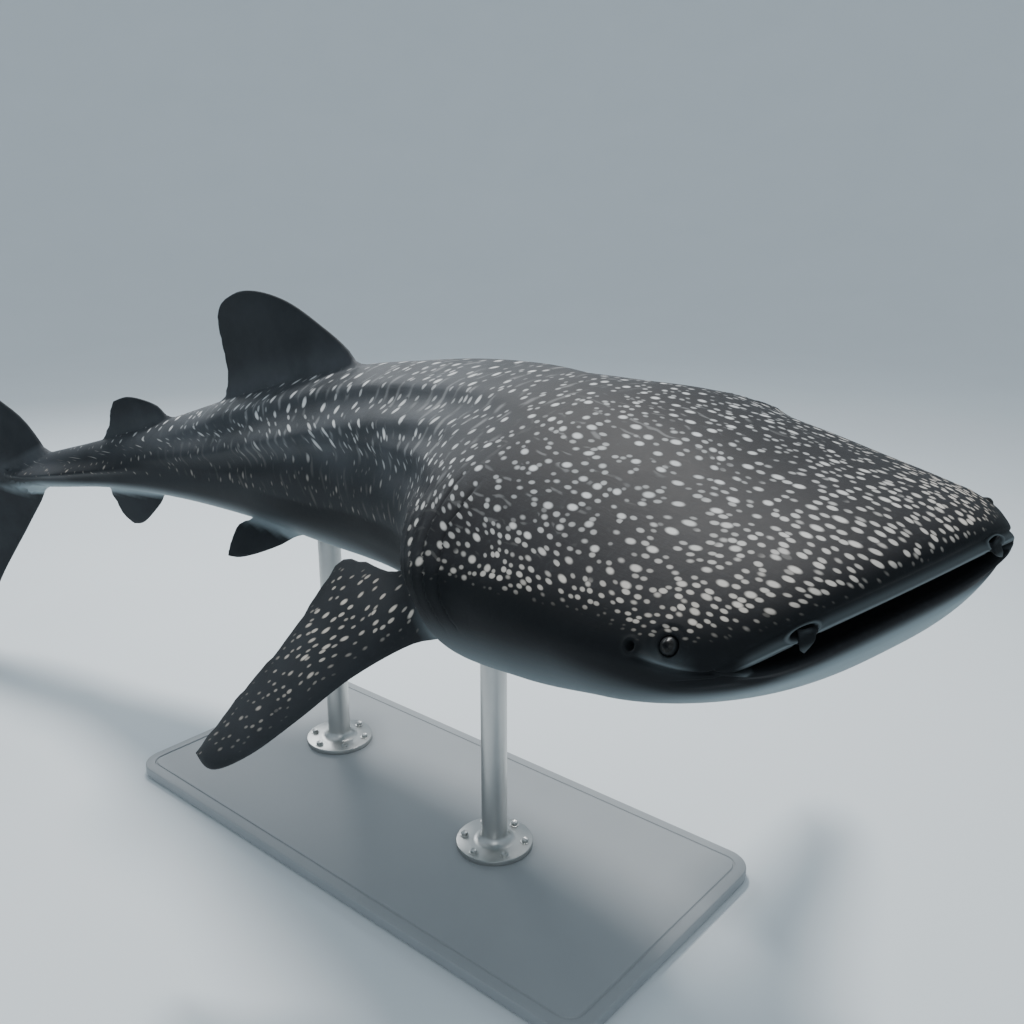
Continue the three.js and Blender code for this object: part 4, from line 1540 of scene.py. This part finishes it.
def upright_cylinder(form, bottom):
    deselect()
    bpy.ops.mesh.primitive_cylinder_add(
        vertices=form["sides"], radius=form["radius"], depth=form["high"],
        location=(0, 0, bottom + form["high"] / 2),
    )
    bpy.ops.object.transform_apply(location=True)
    return bpy.context.object


def make_bolt():
    """A hexagon head with a turned top on a washer, at the origin."""
    head_piece = upright_cylinder(bolt_head, washer["high"])
    select_faces(head_piece, faces_up)
    for inwards, up in bolt_top:
        bpy.ops.mesh.inset(thickness=inwards, depth=up)
    done()
    round_edges(head_piece, bolt_head["edge"], 2, 50)
    washer_piece = upright_cylinder(washer, 0)
    round_edges(washer_piece, washer["edge"], 2, 50)
    bolt = join([head_piece, washer_piece])
    bolt.name = "stand_bolt"
    shade_flats_and_rounds(bolt)
    return bolt


first_bolt = make_bolt()
bolts = []
for piece, x, y in posts:
    for i in range(bolts_each):
        turn = 2 * math.pi * (i + 0.5) / bolts_each
        bolt = first_bolt.copy()
        bolt.data = first_bolt.data.copy()
        bolt.name = piece.name.replace("post", "bolt") + "_" + str(i + 1)
        bpy.context.scene.collection.objects.link(bolt)
        corners = corners_of(bolt) @ np.array(Euler((0, 0, turn * bolt_turn)).to_matrix()).T
        out_x, out_y = bolt_circle * math.cos(turn), bolt_circle * math.sin(turn)
        set_corners(bolt, corners + (x + out_x, y + out_y, plinth_top + post["thick"]))
        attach(bolt, "root")
        bolts.append(bolt)
bpy.data.objects.remove(first_bolt)
print(len(bolts), "bolts")

# %% Rubber rings where the posts enter the belly
# A torus lies flat, but the belly slopes, so each corner is lifted to the belly above its ring.
ring_form = {"outside_post": 0.010, "thick": 0.015, "taller": 1.3, "sunk": 0.004, "flattened": 0.004}


def make_ring(name, x, y):
    wide = post["radius"] + ring_form["outside_post"]
    deselect()
    bpy.ops.mesh.primitive_torus_add(
        major_radius=wide, minor_radius=ring_form["thick"], major_segments=96, minor_segments=24,
    )
    ring = bpy.context.object
    ring.name = name
    corners = corners_of(ring)
    around = np.arctan2(corners[:, 1], corners[:, 0])
    belly = np.array([belly_over(x + wide * math.cos(a), y + wide * math.sin(a)) for a in around])
    lowest = (np.abs(np.hypot(corners[:, 0], corners[:, 1]) - wide) < 0.002) & (corners[:, 2] < 0)
    high = belly - ring_form["sunk"] + ring_form["taller"] * corners[:, 2] + ring_form["flattened"] * lowest
    set_corners(ring, np.stack([corners[:, 0] + x, corners[:, 1] + y, high], -1))
    only(ring)
    bpy.ops.object.shade_smooth()
    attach(ring, "root")
    return ring


rings = [make_ring(piece.name.replace("post", "ring"), x, y) for piece, x, y in posts]
print(len(rings), "rubber rings")

# %% Paint, steel and rubber
def fine_bump(tree, shader, height, strength):
    """Relief of up to a millimetre, for what is too fine to model."""
    raised = make_node(tree, "Bump", Strength=strength, Distance=0.001, Height=height)
    plug(tree, raised, shader.inputs["Normal"])


paint, tree, shader = new_material("stand_paint")
in_space = make_node(tree, "TexCoord", pick="Object")
cloud = noise(tree, in_space, 1.7, 4.0, 0.6)
peel = noise(tree, in_space, 260.0, 2.0, 0.5)
rubbed = vector_maths(tree, "MULTIPLY", in_space, (3.0, 60.0, 60.0))
scuffs = noise(tree, rubbed, 1.0, 5.0, 0.7).between(0.64, 0.74) * cloud.between(0.45, 0.65)
base_colour = mix(tree, cloud, (0.285, 0.305, 0.320), (0.330, 0.350, 0.365))
plug(tree, mix(tree, scuffs * 0.35, base_colour, (0.46, 0.48, 0.49)), shader.inputs["Base Color"])
plug(tree, cloud * 0.14 + scuffs * 0.15 + 0.36, shader.inputs["Roughness"])
fine_bump(tree, shader, peel, 0.25)

steel, tree, shader = new_material("stand_steel")
in_space = make_node(tree, "TexCoord", pick="Object")
turned_lines = vector_maths(tree, "MULTIPLY", in_space, (6.0, 6.0, 700.0))
brushed = noise(tree, turned_lines, 1.0, 3.0, 0.6)
smears = noise(tree, in_space, 7.0, 4.0, 0.6)
plug(tree, mix(tree, smears, (0.50, 0.50, 0.49), (0.62, 0.62, 0.60)), shader.inputs["Base Color"])
plug(tree, brushed * 0.16 + smears * 0.10 + 0.22, shader.inputs["Roughness"])
fine_bump(tree, shader, brushed, 0.12)
shader.inputs["Metallic"].default_value = 1.0

rubber, tree, shader = new_material("stand_rubber")
in_space = make_node(tree, "TexCoord", pick="Object")
dust = noise(tree, in_space, 30.0, 4.0, 0.65)
grit = noise(tree, in_space, 900.0, 2.0, 0.6)
dusty = mix(tree, dust.between(0.4, 0.8), (0.014, 0.014, 0.015), (0.050, 0.050, 0.050))
plug(tree, dusty, shader.inputs["Base Color"])
plug(tree, dust * 0.2 + 0.62, shader.inputs["Roughness"])
fine_bump(tree, shader, grit, 0.3)
for pieces, material in (([plinth], paint), ([p for p, _, _ in posts] + bolts, steel), (rings, rubber)):
    for piece in pieces:
        piece.data.materials.clear()
        piece.data.materials.append(material)
print("stand of", 1 + len(posts) + len(bolts) + len(rings), "pieces")

# %% [markdown]
# ## Light and floor
# The light comes from above, as at the surface of the sea: one soft lamp high over the back, weaker
# ones from the camera's side and from behind the tail, and a faint pale world. A picture of a real
# place could light it, but it would bring that place into the eyes. The floor is one wide sheet
# that curves up far away, so no horizon cuts the picture.

# %% Floor
cove = {"size": 90, "cells": 80, "flat": 16, "radius": 14}
deselect()
bpy.ops.mesh.primitive_grid_add(
    x_subdivisions=cove["cells"], y_subdivisions=cove["cells"], size=cove["size"],
)
floor = bpy.context.object
floor.name = "floor"
floor_corners = corners_of(floor)
far = np.hypot(floor_corners[:, 0], floor_corners[:, 1])
floor_corners[:, 2] = 0.5 * np.maximum(far - cove["flat"], 0) ** 2 / cove["radius"]
set_corners(floor, floor_corners)
bpy.ops.object.shade_smooth()
floor_material, tree, shader = new_material("floor")
floor_grain = noise(tree, make_node(tree, "TexCoord", pick="Object"), 0.6, 3.0)
plug(tree, mix(tree, floor_grain, (0.72, 0.77, 0.80), (0.76, 0.81, 0.84)), shader.inputs["Base Color"])
shader.inputs["Roughness"].default_value = 0.9
floor.data.materials.append(floor_material)
print("floor", round(floor.dimensions.x), "m wide")

# %% Lamps
# Each lamp's name, place, what it points at, width, power and colour.
lamps = [
    ("over_the_back", (-0.9, 2.2, 8.4), (0.6, -0.2, 1.6), 1.8, 720, (1.0, 0.99, 0.97)),
    ("from_the_camera_side", (7.0, -6.0, 5.0), (1.5, -0.4, 1.6), 5.0, 90, (0.93, 0.97, 1.0)),
    ("behind_the_tail", (-7.0, 3.0, 5.5), (-1.5, 0.0, 1.6), 4.0, 200, (0.93, 0.97, 1.0)),
]


def add_lamp(name, where, aim, size, power, colour):
    """A round lamp that lights the scene but isn't seen itself."""
    data = bpy.data.lights.new(name, "AREA")
    data.shape = "DISK"
    data.size = size
    data.energy = power
    data.color = colour
    lamp = bpy.data.objects.new(name, data)
    bpy.context.scene.collection.objects.link(lamp)
    lamp.location = where
    lamp.rotation_euler = (Vector(where) - Vector(aim)).to_track_quat("Z", "Y").to_euler()
    lamp.visible_camera = False


for lamp in lamps:
    add_lamp(*lamp)
world = bpy.context.scene.world or bpy.data.worlds.new("world")
bpy.context.scene.world = world
world.use_nodes = True
world.node_tree.nodes["Background"].inputs["Color"].default_value = (0.80, 0.89, 0.96, 1.0)
world.node_tree.nodes["Background"].inputs["Strength"].default_value = 0.70
print(len(lamps), "lamps and a pale world")
